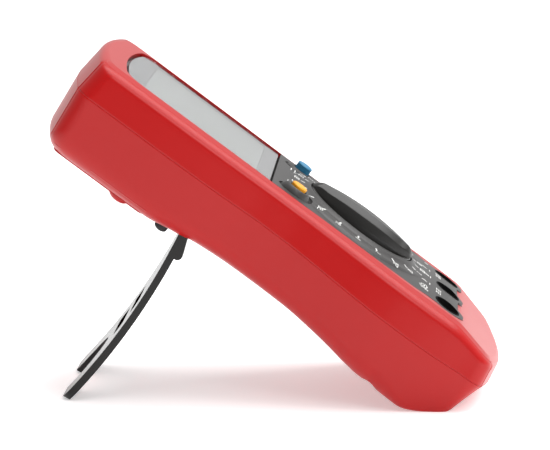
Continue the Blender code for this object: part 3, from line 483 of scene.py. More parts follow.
def shell_ring(drop, cap, depth, rim_lift, side_inset, top, bottom, shrink=0.0, sharpened=0.0, lift=0.0):
    """A closed ring of a shell, drop mm before its cap. lift moves its sides, for the face's groove."""
    level = 1 - drop / depth
    half_width = HALF_WIDTH - shrink
    corner = max(1.5, CORNER_R - shrink * 0.8)
    low_corner = corner - sharpened * level
    half = half_plan(half_width, TOP_Y - shrink - top, BOTTOM_Y + shrink + bottom, corner, low_corner)
    first_side = END_STEPS + 3
    last_side = len(half) - END_STEPS - 4
    right = []
    for i, (x, y, groove) in enumerate(half):
        rim = parting(y) + rim_lift
        x *= 1 + (swell(y) - side_inset(y)) / half_width
        pull = groove * GROOVE_DEEP * min(1.0, drop / 1.5)
        if pull and shrink == 0:
            y -= math.copysign(pull, y)
            x -= pull * 0.3
        raised = lift if first_side <= i <= last_side else 0.0
        right.append((x, y, rim + (cap(y) - rim) * level + raised))
    return right + [(-x, y, z) for x, y, z in right[-2:0:-1]]


def cup(name, outer, inner):
    """A closed cup from outer rings and inner rings, both given rim to cap, with each cap in cross strips."""
    n = len(outer[0])
    half = n // 2
    points = [point for ring in outer + inner for point in ring]
    faces = []

    def band(first, second):
        for i in range(n):
            j = (i + 1) % n
            faces.append((first * n + i, first * n + j, second * n + j, second * n + i))

    def cap(ring):
        start = ring * n
        faces.append((start, start + 1, start + n - 1))
        for i in range(1, half - 1):
            faces.append((start + i, start + i + 1, start + n - i - 1, start + n - i))
        faces.append((start + half - 1, start + half, start + half + 1))

    for i in range(len(outer) - 1):
        band(i, i + 1)
    cap(len(outer) - 1)
    for i in range(len(outer), len(outer) + len(inner) - 1):
        band(i, i + 1)
    cap(len(outer) + len(inner) - 1)
    band(0, len(outer))
    return make(name, points, faces, 50.0)


FILLET_R = 2.3               # rounded edge between the housing's sides and its face
FILLET_TURN = math.radians(72)
BORDER_SLOPE = math.tan(math.radians(9))
BORDER_WIDE = 4.3
TRIM = 0.05                  # keeps the finer curves inside the coarser ones of the CAD
SEAM_STEP = 0.35             # how far the shells' edges turn in at the seam


def front_rings():
    """The front shell's outside, from the seam over the rounded edge and the border to the flat face."""
    border_drop = BORDER_WIDE * BORDER_SLOPE
    arc_start = border_drop + FILLET_R * math.sin(FILLET_TURN)
    arc_inset_end = FILLET_R * (1 - math.cos(FILLET_TURN))
    # (drop, inset, lift) of the side's section, from the seam up to the flat face
    section = [(FRONT_DEPTH, 0.1, 0.0), (FRONT_DEPTH - 0.12, 0.03, 0.0), (FRONT_DEPTH - SEAM_STEP, 0.0, 0.0)]
    section += [(arc_start + (FRONT_DEPTH - 0.5 - arc_start) * (1 - t / 6), 0.0, 0.0) for t in range(7)]
    for i in range(1, 13):
        turn = FILLET_TURN * i / 12
        section.append((arc_start - FILLET_R * math.sin(turn), FILLET_R * (1 - math.cos(turn)), 0.0))
    section.append((border_drop + 0.1, arc_inset_end + 0.25, -0.34))
    for i in range(10):
        t = math.sin(math.pi / 2 * (i + 1) / 10)
        section.append((border_drop * (1 - t), arc_inset_end + 0.6 + (BORDER_WIDE - 0.6) * t, 0.0))
    section.append((0.0, arc_inset_end + BORDER_WIDE + 0.3, 0.0))
    rings = []
    for drop, inset, lift in section:
        used = FRONT_DEPTH - drop
        turn_in = inset if used < 1.0 else 0.0
        rings.append(shell_ring(drop, front_line, FRONT_DEPTH, SEAM,
                                lambda y, inset=inset, used=used: inset + FRONT_DRAFT * used,
                                0.11 * used + arc_inset(drop, 1.8) + turn_in + TRIM,
                                0.1 * used + arc_inset(drop, 1.7) + turn_in + TRIM, lift=lift))
    last = section[-1]
    rings.append(shell_ring(0.0, front_line, FRONT_DEPTH, SEAM,
                            lambda y: last[1] + 0.25 + FRONT_DRAFT * FRONT_DEPTH,
                            0.11 * FRONT_DEPTH + 2.1, 0.1 * FRONT_DEPTH + 2.0))
    return rings


def inner_rings(cap, depth, rim_lift, drops, edge, draft):
    """A shell's inside, from the seam to its cap."""
    rings = []
    for drop in drops:
        used = depth - drop
        top = 0.1 * used + arc_inset(drop, 1.5)
        bottom = 0.1 * used + arc_inset(drop, 1.0)
        rings.append(shell_ring(drop, cap, depth, rim_lift,
                                lambda y, drop=drop, used=used: draft * used + arc_inset(drop, edge),
                                top, bottom, shrink=WALL))
    return rings


def rear_rings():
    """The rear shell's outside, from the seam to the back."""
    drops = [REAR_DEPTH, REAR_DEPTH - 0.12, REAR_DEPTH - SEAM_STEP]
    drops += [7.0 + (REAR_DEPTH - 0.5 - 7.0) * (1 - t / 8) for t in range(9)]
    drops += [7.0 * (1 - math.sin(math.pi / 2 * i / 14)) for i in range(1, 14)]
    drops += [0.4, 0.2, 0.06, 0.0]
    drops = sorted(set(drops), reverse=True)
    rings = []
    for drop in drops:
        used = REAR_DEPTH - drop
        turn_in = max(0.0, 0.1 - used * 0.6) if used < 0.3 else 0.0
        rings.append(shell_ring(drop, back_line, REAR_DEPTH, -SEAM,
                                lambda y, drop=drop, used=used, turn_in=turn_in:
                                REAR_DRAFT * used + arc_inset(drop, rear_edge(y)) + turn_in,
                                0.09 * used + arc_inset(drop, 4.2) + turn_in,
                                0.165 * used + arc_inset(drop, 0.8) + turn_in, sharpened=2.8))
    rings.append(shell_ring(0.0, back_line, REAR_DEPTH, -SEAM,
                            lambda y: REAR_DRAFT * REAR_DEPTH + rear_edge(y) + 0.4,
                            0.09 * REAR_DEPTH + 4.6, 0.165 * REAR_DEPTH + 1.1, sharpened=2.8))
    return rings


def on_table(rings):
    """Rings whose points below the table are lifted onto it."""
    back = PLACE.inverted()
    made = []
    for ring in rings:
        lifted = []
        for point in ring:
            world = PLACE @ (Vector(point) * MM)
            world.z = max(world.z, 0.0)
            lifted.append(tuple(back @ world / MM))
        made.append(lifted)
    return made


def mirrored(right):
    """A whole outline from its right half."""
    return (right + [(-x, y) for x, y in reversed(right) if x > 0])[::-1]


def window_top(grow):
    """The right half of the window's bowed top edge and corner, moved out by grow."""
    half = FACE_HALF + grow
    corner = WINDOW_CORNER_R + grow
    tilt = math.atan2(2 * WINDOW_SAG, half - corner)
    start_x = half - corner + corner * math.sin(tilt)
    top = WINDOW_TOP + grow
    points = [(start_x * i / 12, top - WINDOW_SAG * (i / 12) ** 2) for i in range(13)]
    centre = (half - corner, top - WINDOW_SAG - corner * math.cos(tilt))
    for i in range(1, 15):
        turn = (math.pi / 2 - tilt) * (1 - i / 14)
        points.append((centre[0] + corner * math.cos(turn), centre[1] + corner * math.sin(turn)))
    return points


def face_outline(grow, top):
    """The outline below a top edge: straight sides, a step in, and a lobe round each socket."""
    half = FACE_HALF + grow
    waist = half - PLATE_NARROWS
    r = JACK_LOBE_R + grow
    foot = math.asin((JACK_Y - PLATE_BOTTOM + grow) / r)
    side = math.acos((waist - JACK_PITCH) / r)
    right = list(top)
    for i in range(9):
        t = i / 8
        right.append((half - PLATE_NARROWS * ease(t), -38.3 - 4.6 * t))
    right += circle(r, 40, (JACK_PITCH, JACK_Y), side, foot - math.pi - side)
    right += circle(r, 24, (0.0, JACK_Y), -foot, foot - math.pi / 2)[:-1]
    return mirrored(right + [(0.0, JACK_Y - r)])


FACE_WALL = 2.6


def make_case_front():
    inner = inner_rings(lambda y: front_line(y) - FACE_WALL, FRONT_DEPTH - FACE_WALL, SEAM,
                        (7.8, 3.0, 1.0, 0.0), 3.0, FRONT_DRAFT)
    shell = cup("case_front", front_rings(), inner)
    opening = prism("opening", face_outline(GAP * 0.6, window_top(GAP * 0.6)), -6.0, 3.0)
    combine(shell, [opening], 'DIFFERENCE', 50.0)
    soften(shell, 0.22, 3, 55.0)
    return finish(shell, "housing_red", "housing", "front_shell")


def folded_spot(reach, offset):
    """(y, z) of a point of the stand when it is folded flat under the back."""
    return (STAND_AXIS_Y - reach * math.sin(STAND_SWING) - offset * math.cos(STAND_SWING),
            STAND_AXIS_Z - reach * math.cos(STAND_SWING) + offset * math.sin(STAND_SWING))


def stand_line(reach):
    """Offset of the stand's mid plane towards -y, at a distance from its hinge."""
    t = reach / STAND_REACH
    return STAND_KICK * t + 4 * STAND_BOW * t * (1 - t)


def make_case_back():
    inner = inner_rings(lambda y: back_line(y) + WALL, REAR_DEPTH - WALL, -SEAM,
                        (16.8, 7.0, 4.0, 2.0, 0.8, 0.0), 5.4, REAR_DRAFT)
    shell = cup("case_back", on_table(rear_rings()), inner)
    wall = POCKET_WALL
    roof = []
    for i in range(25):
        reach = STAND_REACH + 1.0 - (STAND_REACH - 8.0) * i / 24
        roof.append(folded_spot(reach, stand_line(reach) + STAND_THICK / 2 + POCKET_ROOM))
    back = STAND_AXIS_Y + 3.2
    roof.append((STAND_AXIS_Y - 8.6, POCKET_ROOF_Z))
    roof.append((STAND_AXIS_Y - 1.0, POCKET_ROOF_Z))
    roof.append((back, STAND_AXIS_Z + 3.0))
    pocket = [(roof[0][0], -45.0)] + roof + [(back, -45.0)]
    lining = [(roof[0][0] - wall, roof[0][1] - 0.6)] + [(y, z + wall) for y, z in roof[:-1]]
    lining += [(back + wall, STAND_AXIS_Z + 3.0 + wall)]
    steps = 30
    floor = []
    for i in range(steps + 1):
        y = back + wall + (roof[0][0] - back - 2 * wall) * i / steps
        floor.append((y, back_line(y) + 0.9))
    half = STAND_HALF + POCKET_ROOM
    liner = side_prism("liner", lining + floor, half + wall)
    pad = prism("pad", rounded_rect(29.4, DOOR_Y[0] - 2.0, DOOR_Y[1] + 1.4, 3.0), *DOOR_PAD_Z)
    bosses = []
    for i, (x, y) in enumerate(SCREW_SPOTS):
        low = back_line(y) + 1.4
        bosses.append(lathe(f"boss_{i}", ((0, low), (3.5, low), (3.5, -11.4), (0, -11.4)), (x, y, 0), 32))
    combine(shell, [liner, pad, *bosses], 'UNION', 50.0)
    ledge = DOOR_OUT_Z + DOOR_THICK + 2 * GAP
    door_edge = rounded_rect(DOOR_HALF + 0.2, DOOR_Y[0] - 0.2, DOOR_Y[1] + 0.2, 2.7)
    hatch_edge = rounded_rect(TRAY_HALF - 1.2, TRAY_Y[0] + 1.2, TRAY_Y[1] - 1.2, 1.0)
    cutters = [side_prism("pocket", pocket, half),
               prism("door_opening", door_edge, -45.0, ledge),
               prism("hatch", hatch_edge, -28.5, -20.0)]
    for i, (x, y) in enumerate(FOOT_SPOTS):
        top = back_line(y) + 1.0
        cutters.append(lathe(f"seat_{i}", ((0, -45.0), (2.2, -45.0), (2.2, top), (0, top)), (x, y, 0), 48))
    bore = ((0, -45.0), (2.7, -45.0), (2.7, SCREW_SEAT_Z), (1.7, SCREW_SEAT_Z), (1.7, 0.0), (0, 0.0))
    for i, (x, y) in enumerate(SCREW_SPOTS):
        cutters.append(lathe(f"bore_{i}", bore, (x, y, 0), 48))
    cutters.append(lathe("screw_room", ((0, -40.0), (1.5, -40.0), (1.5, -10.0), (0, -10.0)),
                         (0, DOOR_SCREW_Y, 0), 32))
    cutters.append(lathe("pin_room", ((0, -25.5), (1.0, -25.5), (1.0, 25.5), (0, 25.5)),
                         (0, STAND_AXIS_Y, STAND_AXIS_Z), 32, 'X'))
    combine(shell, cutters, 'DIFFERENCE', 50.0)
    soften(shell, 0.18, 2, 60.0)
    return finish(shell, "housing_red", "housing", "rear_shell")


# ---- Face ----

def ease(t):
    """A smooth step from 0 to 1."""
    t = min(max(t, 0.0), 1.0)
    return t * t * (3 - 2 * t)


def panel_z(x, y):
    """Height of the panel: crowned across, level at the window, and rising to the dial as a collar."""
    crown = CROWN * (0.2 + 0.8 * ease((WINDOW_BOTTOM - 0.3 - y) / 9.0))
    crown *= 1 - 0.6 * ease((-50.0 - y) / 6.0)
    crown *= ease((WINDOW_BOTTOM - 0.15 - y) / 3.0)
    z = PLATE_TOP_Z + crown * (1 - (x / FACE_HALF) ** 2)
    r = math.hypot(x, y - DIAL_Y)
    z += max(0.0, RING_Z - z) * ease((RING_R - r) / 1.7)
    return z + (COLLAR_TOP_Z - z) * ease((COLLAR_R - r) / (COLLAR_R - DIAL_R - 0.5))


def crowned(obj, low):
    """Lifts the part of a flat-built piece above low onto the crowned panel, cut finely enough to bend."""
    fine = bmesh.new()
    fine.from_mesh(obj.data)
    pitch = 1.6
    for axis, first, last in ((0, -24.0, 24.1), (1, -54.4, 10.0)):
        for i in range(int((last - first) / pitch) + 1):
            spot = [0.0, 0.0, 0.0]
            spot[axis] = (first + i * pitch) * MM
            normal = [0.0, 0.0, 0.0]
            normal[axis] = 1.0
            every = fine.verts[:] + fine.edges[:] + fine.faces[:]
            bmesh.ops.bisect_plane(fine, geom=every, dist=1e-7, plane_co=spot, plane_no=normal)
    for vertex in fine.verts:
        if vertex.co.z > low * MM:
            vertex.co.z += (panel_z(vertex.co.x / MM, vertex.co.y / MM) - PLATE_TOP_Z) * MM
    fine.to_mesh(obj.data)
    fine.free()
    shade(obj, 35.0)
    return obj


def make_window():
    """The clear pane, a grey mask and a black sheet under them whose edge, showing round the pane, is painted
    shade for the window's recess, and the blank display in their opening.
    """
    spread = GAP * 0.9
    under = mirrored(window_top(spread) + [(FACE_HALF + spread, WINDOW_BOTTOM)])
    opening = rounded_rect(DISPLAY_HALF, DISPLAY_LOW, DISPLAY_HIGH, 1.0)
    # The black sheet reaches past the pane's edge; where it shows, it is painted shade for the recess round the
    # window.
    shade_sheet = prism("window_shade_sheet", under, LENS_TOP_Z - 1.5, LENS_TOP_Z - 1.1)
    combine(shade_sheet, [prism("shade_sheet_hole", opening, -4.0, 0.0)], 'DIFFERENCE')
    finish(shade_sheet, "black_plastic", "housing")
    outline = mirrored(window_top(0.0) + [(FACE_HALF, WINDOW_BOTTOM + 0.35)])
    # The pane stops short of the opening's top, so the black sheet shows there as a painted shadow arc.
    top_gap = 0.8
    outline = [(x, y - top_gap if y > WINDOW_TOP - 12.0 else y) for x, y in outline]
    pane = prism("window_pane", outline, LENS_TOP_Z - 0.7, LENS_TOP_Z)
    soften(pane, 0.15, 2, 50.0)
    finish(pane, "window_clear", "housing", "window_lens")
    mask = prism("display_mask", outline, LENS_TOP_Z - 1.05, LENS_TOP_Z - 0.8)
    combine(mask, [prism("mask_hole", opening, -4.0, 0.0)], 'DIFFERENCE')
    finish(mask, "black_plastic", "housing", material="mask_grey")
    edge = rounded_rect(DISPLAY_HALF - 0.1, DISPLAY_LOW + 0.1, DISPLAY_HIGH - 0.1, 0.9)
    blank = prism("display_blank", edge, LENS_TOP_Z - 2.6, LENS_TOP_Z - 1.0)
    finish(blank, "display_glass", "housing", "display_glass")


def make_panel():
    """The dark panel, cut flat with its holes first and then bent to the height that panel_z gives."""
    top_edge = [(0.0, WINDOW_BOTTOM - 0.15), (FACE_HALF, WINDOW_BOTTOM - 0.15)]
    plate = prism("face_panel", face_outline(0.0, top_edge), PLATE_TOP_Z - PLATE_THICK, PLATE_TOP_Z)
    collar = [(0, -1.4)]
    collar += [(RING_R - (RING_R - DIAL_R) * i / 16, PLATE_TOP_Z + 0.01 * i if i else -1.4)
               for i in range(17)]
    collar += [(0, collar[-1][1])]
    mouth = JACK_WELL_R + 0.45
    jack_holes = [lathe(f"jack_hole_{side + 1}", ((0, -6.0), (mouth, -6.0), (mouth, 3.0), (0, 3.0)),
                        (side * JACK_PITCH, JACK_Y, 0), 96) for side in (-1, 0, 1)]
    combine(plate, jack_holes, 'DIFFERENCE')
    combine(plate, [lathe("collar", collar, (0, DIAL_Y, 0), 160)], 'UNION')
    shaft = HUB_R + 0.4
    recess = ((0, -6.0), (shaft, -6.0), (shaft, -1.7), (RECESS_R, -1.7), (RECESS_R, 3.0), (0, 3.0))
    holes = [lathe("dial_recess", recess, (0, DIAL_Y, 0), 160)]
    # (how far the hole has spread from the button's bore to its oval mouth, height)
    flare = ((0.0, -6.0), (0.0, -1.5), (0.55, -1.35), (0.85, -0.95), (0.97, -0.5),
             (1.0, PLATE_TOP_Z), (1.0, 3.0))
    for side in (-1, 1):
        centre = (side * BUTTON_X, BUTTON_Y)
        rings = []
        for spread, z in flare:
            ring = []
            for x, y in circle(1.0, 72):
                near_x = (BUTTON_R + 0.25) * (1 - spread) + 4.6 * spread
                near_y = (BUTTON_R + 0.25) * (1 - spread) + 5.5 * spread
                ring.append((centre[0] + near_x * x, centre[1] + near_y * y, z))
            rings.append(ring)
        holes.append(skin(f"button_hole_{side + 1}", rings))
    combine(plate, holes, 'DIFFERENCE')
    crowned(plate, -1.55)
    soften(plate, 0.1, 2, 50.0)
    finish(plate, "panel_grey", "housing", "faceplate")


# Strokes of plain digits on a grid 2 wide and 4 high
DIGIT_STEP = 2.9             # from one digit to the next on that grid
DIGITS = {
    "0": ((0, 0), (2, 0), (2, 4), (0, 4), (0, 0)),
    "1": ((0.4, 3.2), (1.2, 4), (1.2, 0)),
    "2": ((0, 4), (2, 4), (2, 2.1), (0, 1.9), (0, 0), (2, 0)),
    "4": ((1.6, 0), (1.6, 4), (0, 1.3), (2.2, 1.3)),
    "6": ((2, 4), (0, 4), (0, 0), (2, 0), (2, 2), (0, 2)),
}


def stroke(path, width):
    """Quads that follow a flat path."""
    quads = []
    for (x0, y0), (x1, y1) in zip(path, path[1:]):
        along = Vector((x1 - x0, y1 - y0)).normalized() * width / 2
        across = Vector((-along.y, along.x))
        a = Vector((x0, y0)) - along
        b = Vector((x1, y1)) + along
        quads.append([tuple(a + across), tuple(a - across), tuple(b - across), tuple(b + across)])
    return quads


def digits(text, size):
    """Quads of a number centred on the origin, size mm tall."""
    scale = size / 4
    wide = (len(text) * DIGIT_STEP - 0.9) * scale
    quads = []
    for i, letter in enumerate(text):
        path = [(x * scale + i * DIGIT_STEP * scale - wide / 2, y * scale - size / 2)
                for x, y in DIGITS[letter]]
        quads += stroke(path, 0.2)
    return quads


def make_marks():
    """Printed marks: a tick and a number at each dial position, and small signs by buttons and sockets."""
    points = []
    faces = []

    def lay(quads, at, turn=0.0):
        for quad in quads:
            start = len(points)
            for x, y in quad:
                px = at[0] + x * math.cos(turn) - y * math.sin(turn)
                py = at[1] + x * math.sin(turn) + y * math.cos(turn)
                points.append((px, py, panel_z(px, py) + INK))
            faces.append(tuple(range(start, start + 4)))

    labels = ("200", "20", "2", "200", "20", "2", "1", "10", "2", "20", "200", "2", "20", "200", "2", "0",
              "20", "200", "2", "600")
    for i in range(20):
        angle = math.radians(90 - 18 * i)
        spot = (TICK_R * math.cos(angle), DIAL_Y + TICK_R * math.sin(angle))
        lay(stroke([(-0.5, 0.0), (0.5, 0.0)], 0.5), spot, angle)
        spot = (NUMBER_R * math.cos(angle), DIAL_Y + NUMBER_R * math.sin(angle))
        lay(digits(labels[i], 1.5), spot)
    # Curved waves, arrowheads over bars and small numbers, above and between the sockets
    for r in (1.2, 2.1, 3.0):
        lay(stroke(circle(r, 12, (0, 0), math.radians(200), math.radians(110)), 0.32), (-16.2, -39.6))
    for x, y in ((-9.5, -43.4), (0.0, -43.6), (9.5, -43.4)):
        lay(stroke([(-1.1, 0), (1.1, 0)], 0.24), (x, y))
        lay(stroke([(0, -0.8), (0.9, 0), (0, 0.8), (0, -0.8)], 0.24), (x - 0.3, y + 1.9))
    for x in (-12.5, -9.4, 9.4, 12.5):
        lay(digits("20", 1.5), (x, -46.5))
    # Two bars, a ring and a number between each button and the middle
    for side in (-1, 1):
        lay(stroke([(-1.6, 0), (1.6, 0)], 0.3), (side * 10.4, 6.2))
        lay(stroke([(-1.6, 0), (1.6, 0)], 0.3), (side * 10.4, 4.9))
        lay(stroke(circle(0.9, 9), 0.24), (side * 10.4, 2.4))
        lay(digits("10", 1.4), (side * 6.4, 4.4))
    for side in (-1, 0, 1):
        ring = circle(0.5, 9, (side * JACK_PITCH, -42.5))
        lay(stroke(ring + ring[:1], 0.24), (0.0, 0.0))
    marks = make("face_marks", [], [])
    marks.data.from_pydata([Vector(p) * MM for p in points], [], faces)
    thick = marks.modifiers.new("ink", 'SOLIDIFY')
    thick.thickness = INK * MM
    thick.offset = 0.0
    finish(marks, "white_plastic", "housing", material="print_white")


def grip_crest(y):
    """Height of the dial's grip bar along its length."""
    along = y / DIAL_R
    return GRIP_TOP_Z - (GRIP_TOP_Z - GRIP_END_Z) * along * along


def make_dial():
    """A dished disc with an arched grip bar across it."""
    wall = DIAL_R
    profile = [(0, -7.2), (HUB_R, -7.2), (HUB_R, -1.3), (wall, -1.3)]
    profile += [(wall, DIAL_RIM_Z - 0.45), (wall - 0.12, DIAL_RIM_Z - 0.16), (wall - 0.4, DIAL_RIM_Z),
                (wall - 0.95, DIAL_RIM_Z), (wall - 1.2, DIAL_RIM_Z - 0.12)]
    for i in range(1, 11):
        t = i / 10
        profile.append((wall - 1.2 - 6.2 * t, DIAL_RIM_Z - 0.12 - 1.7 * math.sin(t * math.pi / 2)))
    profile.append((0, profile[-1][1] - 0.05))
    dial = lathe("dial", profile, (0, DIAL_Y, 0), 180)
    sections = 60
    rings = []
    for i in range(sections + 1):
        y = (DIAL_R - 0.12) * (2 * i / sections - 1)
        edge = math.sqrt(max(0.01, (DIAL_R - 0.1) ** 2 - y * y))
        bow = 1 - (y / DIAL_R) ** 2
        foot = min(edge, 2.0 + 3.2 * bow)
        crest = min(edge, 1.4 + 2.9 * bow)
        top = grip_crest(y) - 1.6 * max(0.0, (abs(y) - 14.6) / 2.9) ** 2
        chamfer = min(2.0, crest * 0.7)
        side = [(foot, -0.9), (foot - (foot - crest) * 0.3, top * 0.3), (crest, top - chamfer * 0.75),
                (crest - chamfer, top)]
        side = rounded(side, 0.2, 3)
        ring = [(x, DIAL_Y + y, z) for x, z in side] + [(-x, DIAL_Y + y, z) for x, z in reversed(side)]
        rings.append(ring)
    combine(dial, [skin("grip", rings, 40.0)], 'UNION', 32.0)
    return finish(dial, "black_plastic", "dial", "dial_knob", material="dial_black")


def make_buttons():
    for side, name, old, slot in ((1, "button_blue", "button_right", "button_blue"),
                                  (-1, "button_yellow", "button_left", "button_yellow")):
        profile = [(0, -6.4), (1.6, -6.4), (1.6, -3.7), (BUTTON_R + 0.9, -3.7), (BUTTON_R + 0.9, -2.9),
                   (BUTTON_R, -2.9), (BUTTON_R - 0.15, BUTTON_TOP_Z - 0.6)]
        for i in range(1, 7):
            turn = math.pi / 2 * i / 6
            r = BUTTON_R - 0.6 + 0.55 * math.cos(turn)
            profile.append((r, BUTTON_TOP_Z - 0.6 + 0.6 * math.sin(turn)))
        profile.append((0, BUTTON_TOP_Z + 0.08))
        piece = lathe(name, profile, (side * BUTTON_X, BUTTON_Y, 0), 96)
        finish(piece, slot, f"button_{'right' if side > 0 else 'left'}", old)


def make_button_collars():
    """Raised oval collars that the two buttons stand in."""
    # (half width, half length, height) of a closed section
    section = ((4.3, 5.0, -0.9), (4.0, 4.6, 0.5), (3.5, 3.8, 1.5), (3.3, 3.5, 1.75), (3.1, 3.2, 1.85),
               (2.8, 2.85, 1.8), (2.65, 2.65, 1.6), (2.65, 2.65, -0.9))
    count = 72
    for side, name in ((-1, "left"), (1, "right")):
        points = []
        faces = []
        for level, (half_x, half_y, z) in enumerate(section):
            height = z if side < 0 else min(z, z * RIGHT_COLLAR)
            for x, y in circle(1.0, count):
                points.append((side * BUTTON_X + half_x * x, BUTTON_Y + half_y * y, height))
            after = (level + 1) % len(section)
            for i in range(count):
                j = (i + 1) % count
                faces.append((level * count + i, level * count + j, after * count + j, after * count + i))
        finish(make(f"button_collar_{name}", points, faces), "panel_grey", "housing")


def make_jacks():
    """The three socket mouths: a thin ring in the panel over a hollow body, in a darker, duller black that is
    painted shade for the deep wells.
    """
    outer = JACK_WELL_R + 0.38
    body = JACK_OUTER_R - 0.9
    profile = [(2.9, -16.0), (body, -16.0), (body, -3.2), (outer, -3.0), (outer, JACK_TOP_Z - 0.1),
               (outer - 0.08, JACK_TOP_Z), (JACK_WELL_R + 0.08, JACK_TOP_Z), (JACK_WELL_R, JACK_TOP_Z - 0.1),
               (JACK_WELL_R, -4.0), (JACK_WELL_R - 0.5, -8.6), (2.9, -8.6)]
    for side, name in ((-1, "left"), (0, "middle"), (1, "right")):
        ring = lathe(f"jack_ring_{name}", profile, (side * JACK_PITCH, JACK_Y, 0), 96)
        # The socket rings take the darker, duller black, as painted shade in their wells.
        finish(crowned(ring, -3.5), "black_plastic", "housing", f"jack_shroud_{name}",
               material="socket_shade_black")


# ---- Back ----

def make_door():
    outline = rounded_rect(DOOR_HALF, DOOR_Y[0], DOOR_Y[1], 2.5)
    door = prism("door", outline, DOOR_OUT_Z, DOOR_OUT_Z + DOOR_THICK)
    nubs = []
    for side in (-1, 1):
        profile = [(0, DOOR_OUT_Z + 0.6), (3.4, DOOR_OUT_Z + 0.6)]
        for i in range(11):
            turn = math.pi / 2 * i / 10
            profile.append((3.35 * math.cos(turn) ** 0.8 if i < 10 else 0, DOOR_OUT_Z - 2.0 * math.sin(turn)))
        nubs.append(lathe(f"nub_{side + 1}", profile, (side * 20.5, 41.8, 0), 64))
    combine(door, nubs, 'UNION')
    seat = DOOR_OUT_Z + 1.3
    hole = lathe("hole", ((0, -40.0), (2.6, -40.0), (2.6, seat), (1.5, seat), (1.5, -20.0), (0, -20.0)),
                 (0, DOOR_SCREW_Y, 0), 48)
    combine(door, [hole], 'DIFFERENCE')
    soften(door, 0.25, 3, 50.0)
    finish(door, "housing_red", "housing", "battery_door")


def make_feet():
    for i, (x, y) in enumerate(FOOT_SPOTS):
        z = back_line(y)
        profile = [(0, z + 0.7), (1.95, z + 0.7), (1.95, z - 1.0)]
        for k in range(1, 9):
            turn = math.pi / 2 * k / 8
            profile.append((1.95 * math.cos(turn) if k < 8 else 0, z - 1.0 - 1.1 * math.sin(turn)))
        finish(lathe(f"foot_pad_{i + 1}", profile, (x, y, 0), 64), "rubber_black", "housing",
               f"rubber_foot_{('right', 'left')[i]}")


def make_stand():
    near = []
    far = []
    stations = 60
    for i in range(stations + 1):
        reach = 0.4 + (STAND_REACH - 0.4) * i / stations
        near.append((STAND_AXIS_Y - stand_line(reach) + STAND_THICK / 2, STAND_AXIS_Z - reach))
        far.append((STAND_AXIS_Y - stand_line(reach) - STAND_THICK / 2, STAND_AXIS_Z - reach))
    stand = side_prism("stand", near + far[::-1], STAND_HALF)
    hinge = (0, STAND_AXIS_Y, STAND_AXIS_Z)
    barrel = ((0, -STAND_HALF), (BARREL_R, -STAND_HALF), (BARREL_R, STAND_HALF), (0, STAND_HALF))
    parts = [lathe("barrel", barrel, hinge, 64, 'X')]
    # (distance from the hinge, offset) of the stop block at either side
    section = ((1.0, 0.3), (8.6, 0.3), (8.6, 3.0), (8.2, 3.7), (7.4, 4.1), (6.6, 4.0), (1.0, 1.9))
    block = [(STAND_AXIS_Y - offset, STAND_AXIS_Z - reach) for reach, offset in section]
    parts += [side_prism(f"block_{side + 1}", block, 2.6, side * (STAND_HALF - 2.61)) for side in (-1, 1)]
    combine(stand, parts, 'UNION')
    front = STAND_AXIS_Y - 12.0
    rear = STAND_AXIS_Y + 12.0
    arch = [(-ARCH_HALF, -90.0), (ARCH_HALF, -90.0)] + circle(ARCH_HALF, 41, (0.0, -80.0), 0.0, math.pi)
    cutters = [end_prism("arch", arch, front, rear)]
    for i, (low, high) in enumerate(((-65.4, -60.4), (-57.4, -52.4))):
        cutters.append(end_prism(f"slot_{i}", rounded_rect(ARCH_HALF, low, high, 2.3), front, rear))
    for side in (-1, 1):
        r = 5.0
        corner_x = side * STAND_HALF
        corner_z = STAND_AXIS_Z - STAND_REACH - 0.6
        rim = [(corner_x - side * r * (1 - math.sin(a)), corner_z + r * (1 - math.cos(a)))
               for a in (math.pi / 2 * i / 16 for i in range(17))]
        outline = [(corner_x + side * 4.0, corner_z - 4.0), (corner_x - side * r, corner_z - 4.0)] + rim
        outline.append((corner_x + side * 4.0, corner_z + r))
        cutters.append(end_prism(f"corner_{side + 1}", outline, front, rear))
    cutters.append(lathe("bore", ((0, -40.0), (0.96, -40.0), (0.96, 40.0), (0, 40.0)), hinge, 32, 'X'))
    combine(stand, cutters, 'DIFFERENCE')
    world = [PLACE @ v.co for v in stand.data.vertices]
    back = PLACE.inverted()
    for vertex, spot in zip(stand.data.vertices, world):
        if spot.z < 0:
            vertex.co = back @ Vector((spot.x, spot.y, 0.0))
    soften(stand, 0.3, 3, 50.0)
    finish(stand, "black_plastic", "stand", "tilt_stand", material="stand_black")


# ---- Stage ----

def area(name, spot, target, wide, tall, power):
    light = bpy.data.lights.new(name, 'AREA')
    light.shape = 'RECTANGLE'
    light.size = wide
    light.size_y = tall
    light.energy = power
    obj = bpy.data.objects.new(name, light)
    obj.location = spot
    obj.rotation_euler = (Vector(target) - Vector(spot)).to_track_quat('-Z', 'Y').to_euler()
    bpy.context.scene.collection.objects.link(obj)


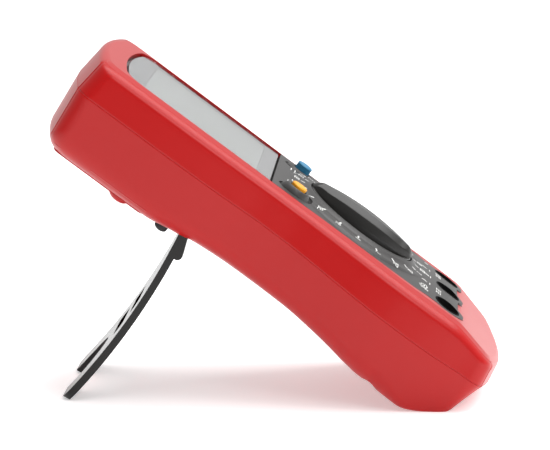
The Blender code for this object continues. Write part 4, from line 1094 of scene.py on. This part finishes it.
def make_stage():
    """A wide white floor, two lights, and a world brighter beyond the meter than behind the camera."""
    mesh = bpy.data.meshes.new("floor")
    far = 20
    mesh.from_pydata([(-far, -far, 0), (far, -far, 0), (far, far, 0), (-far, far, 0)], [], [(0, 1, 2, 3)])
    floor = bpy.data.objects.new("floor", mesh)
    bpy.context.scene.collection.objects.link(floor)
    white = surface("floor_white", (0.93, 0.93, 0.93), 0.7, tint=0.005)
    shader = white.node_tree.nodes["Principled BSDF"]
    shader.inputs["Emission Color"].default_value = (1.0, 1.0, 1.0, 1.0)
    shader.inputs["Emission Strength"].default_value = 0.4
    mesh.materials.append(white)
    world = bpy.data.worlds.new("studio")
    world.use_nodes = True
    tree = world.node_tree
    tree.nodes["Background"].inputs["Color"].default_value = (1.0, 1.0, 1.0, 1.0)
    place = tree.nodes.new("ShaderNodeTexCoord")
    split = tree.nodes.new("ShaderNodeSeparateXYZ")
    level = tree.nodes.new("ShaderNodeMapRange")
    level.inputs["From Min"].default_value = -0.9
    level.inputs["From Max"].default_value = 0.6
    level.inputs["To Min"].default_value = 0.28
    level.inputs["To Max"].default_value = 0.78
    tree.links.new(place.outputs["Generated"], split.inputs["Vector"])
    tree.links.new(split.outputs["X"], level.inputs["Value"])
    tree.links.new(level.outputs["Result"], tree.nodes["Background"].inputs["Strength"])
    bpy.context.scene.world = world
    area("top_box", (0.1, -0.6, 1.25), (0.0, 0.0, 0.05), 1.5, 1.5, 25.0)
    area("edge_box", (-0.83, -0.66, 0.79), (0.0, 0.0, 0.05), 0.4, 0.4, 3.0)
    bpy.context.scene.view_settings.view_transform = "Standard"


def make_camera():
    camera = bpy.data.cameras.new("camera")
    camera.lens = CAMERA_LENS
    camera.sensor_width = CAMERA_SENSOR
    camera.clip_start = 0.01
    obj = bpy.data.objects.new("camera", camera)
    bpy.context.scene.collection.objects.link(obj)
    view = Matrix((Vector(CAMERA_RIGHT), Vector(CAMERA_UP), -Vector(CAMERA_FORWARD))).transposed().to_4x4()
    obj.matrix_world = PLACE @ Matrix.Translation(Vector(CAMERA_SPOT) * MM) @ view
    bpy.context.scene.camera = obj


make_case_front()
make_case_back()
make_window()
make_panel()
make_marks()
make_dial()
make_buttons()
make_button_collars()
make_jacks()
make_door()
make_feet()
make_stand()
slot_of = {part["node"]: part["material_slot"] for part in frame["record"]["subparts"]}
for node, obj in frame["nodes"].items():
    obj.data.materials.clear()
    obj.data.materials.append(MATERIALS[slot_of[node]])
make_stage()
make_camera()
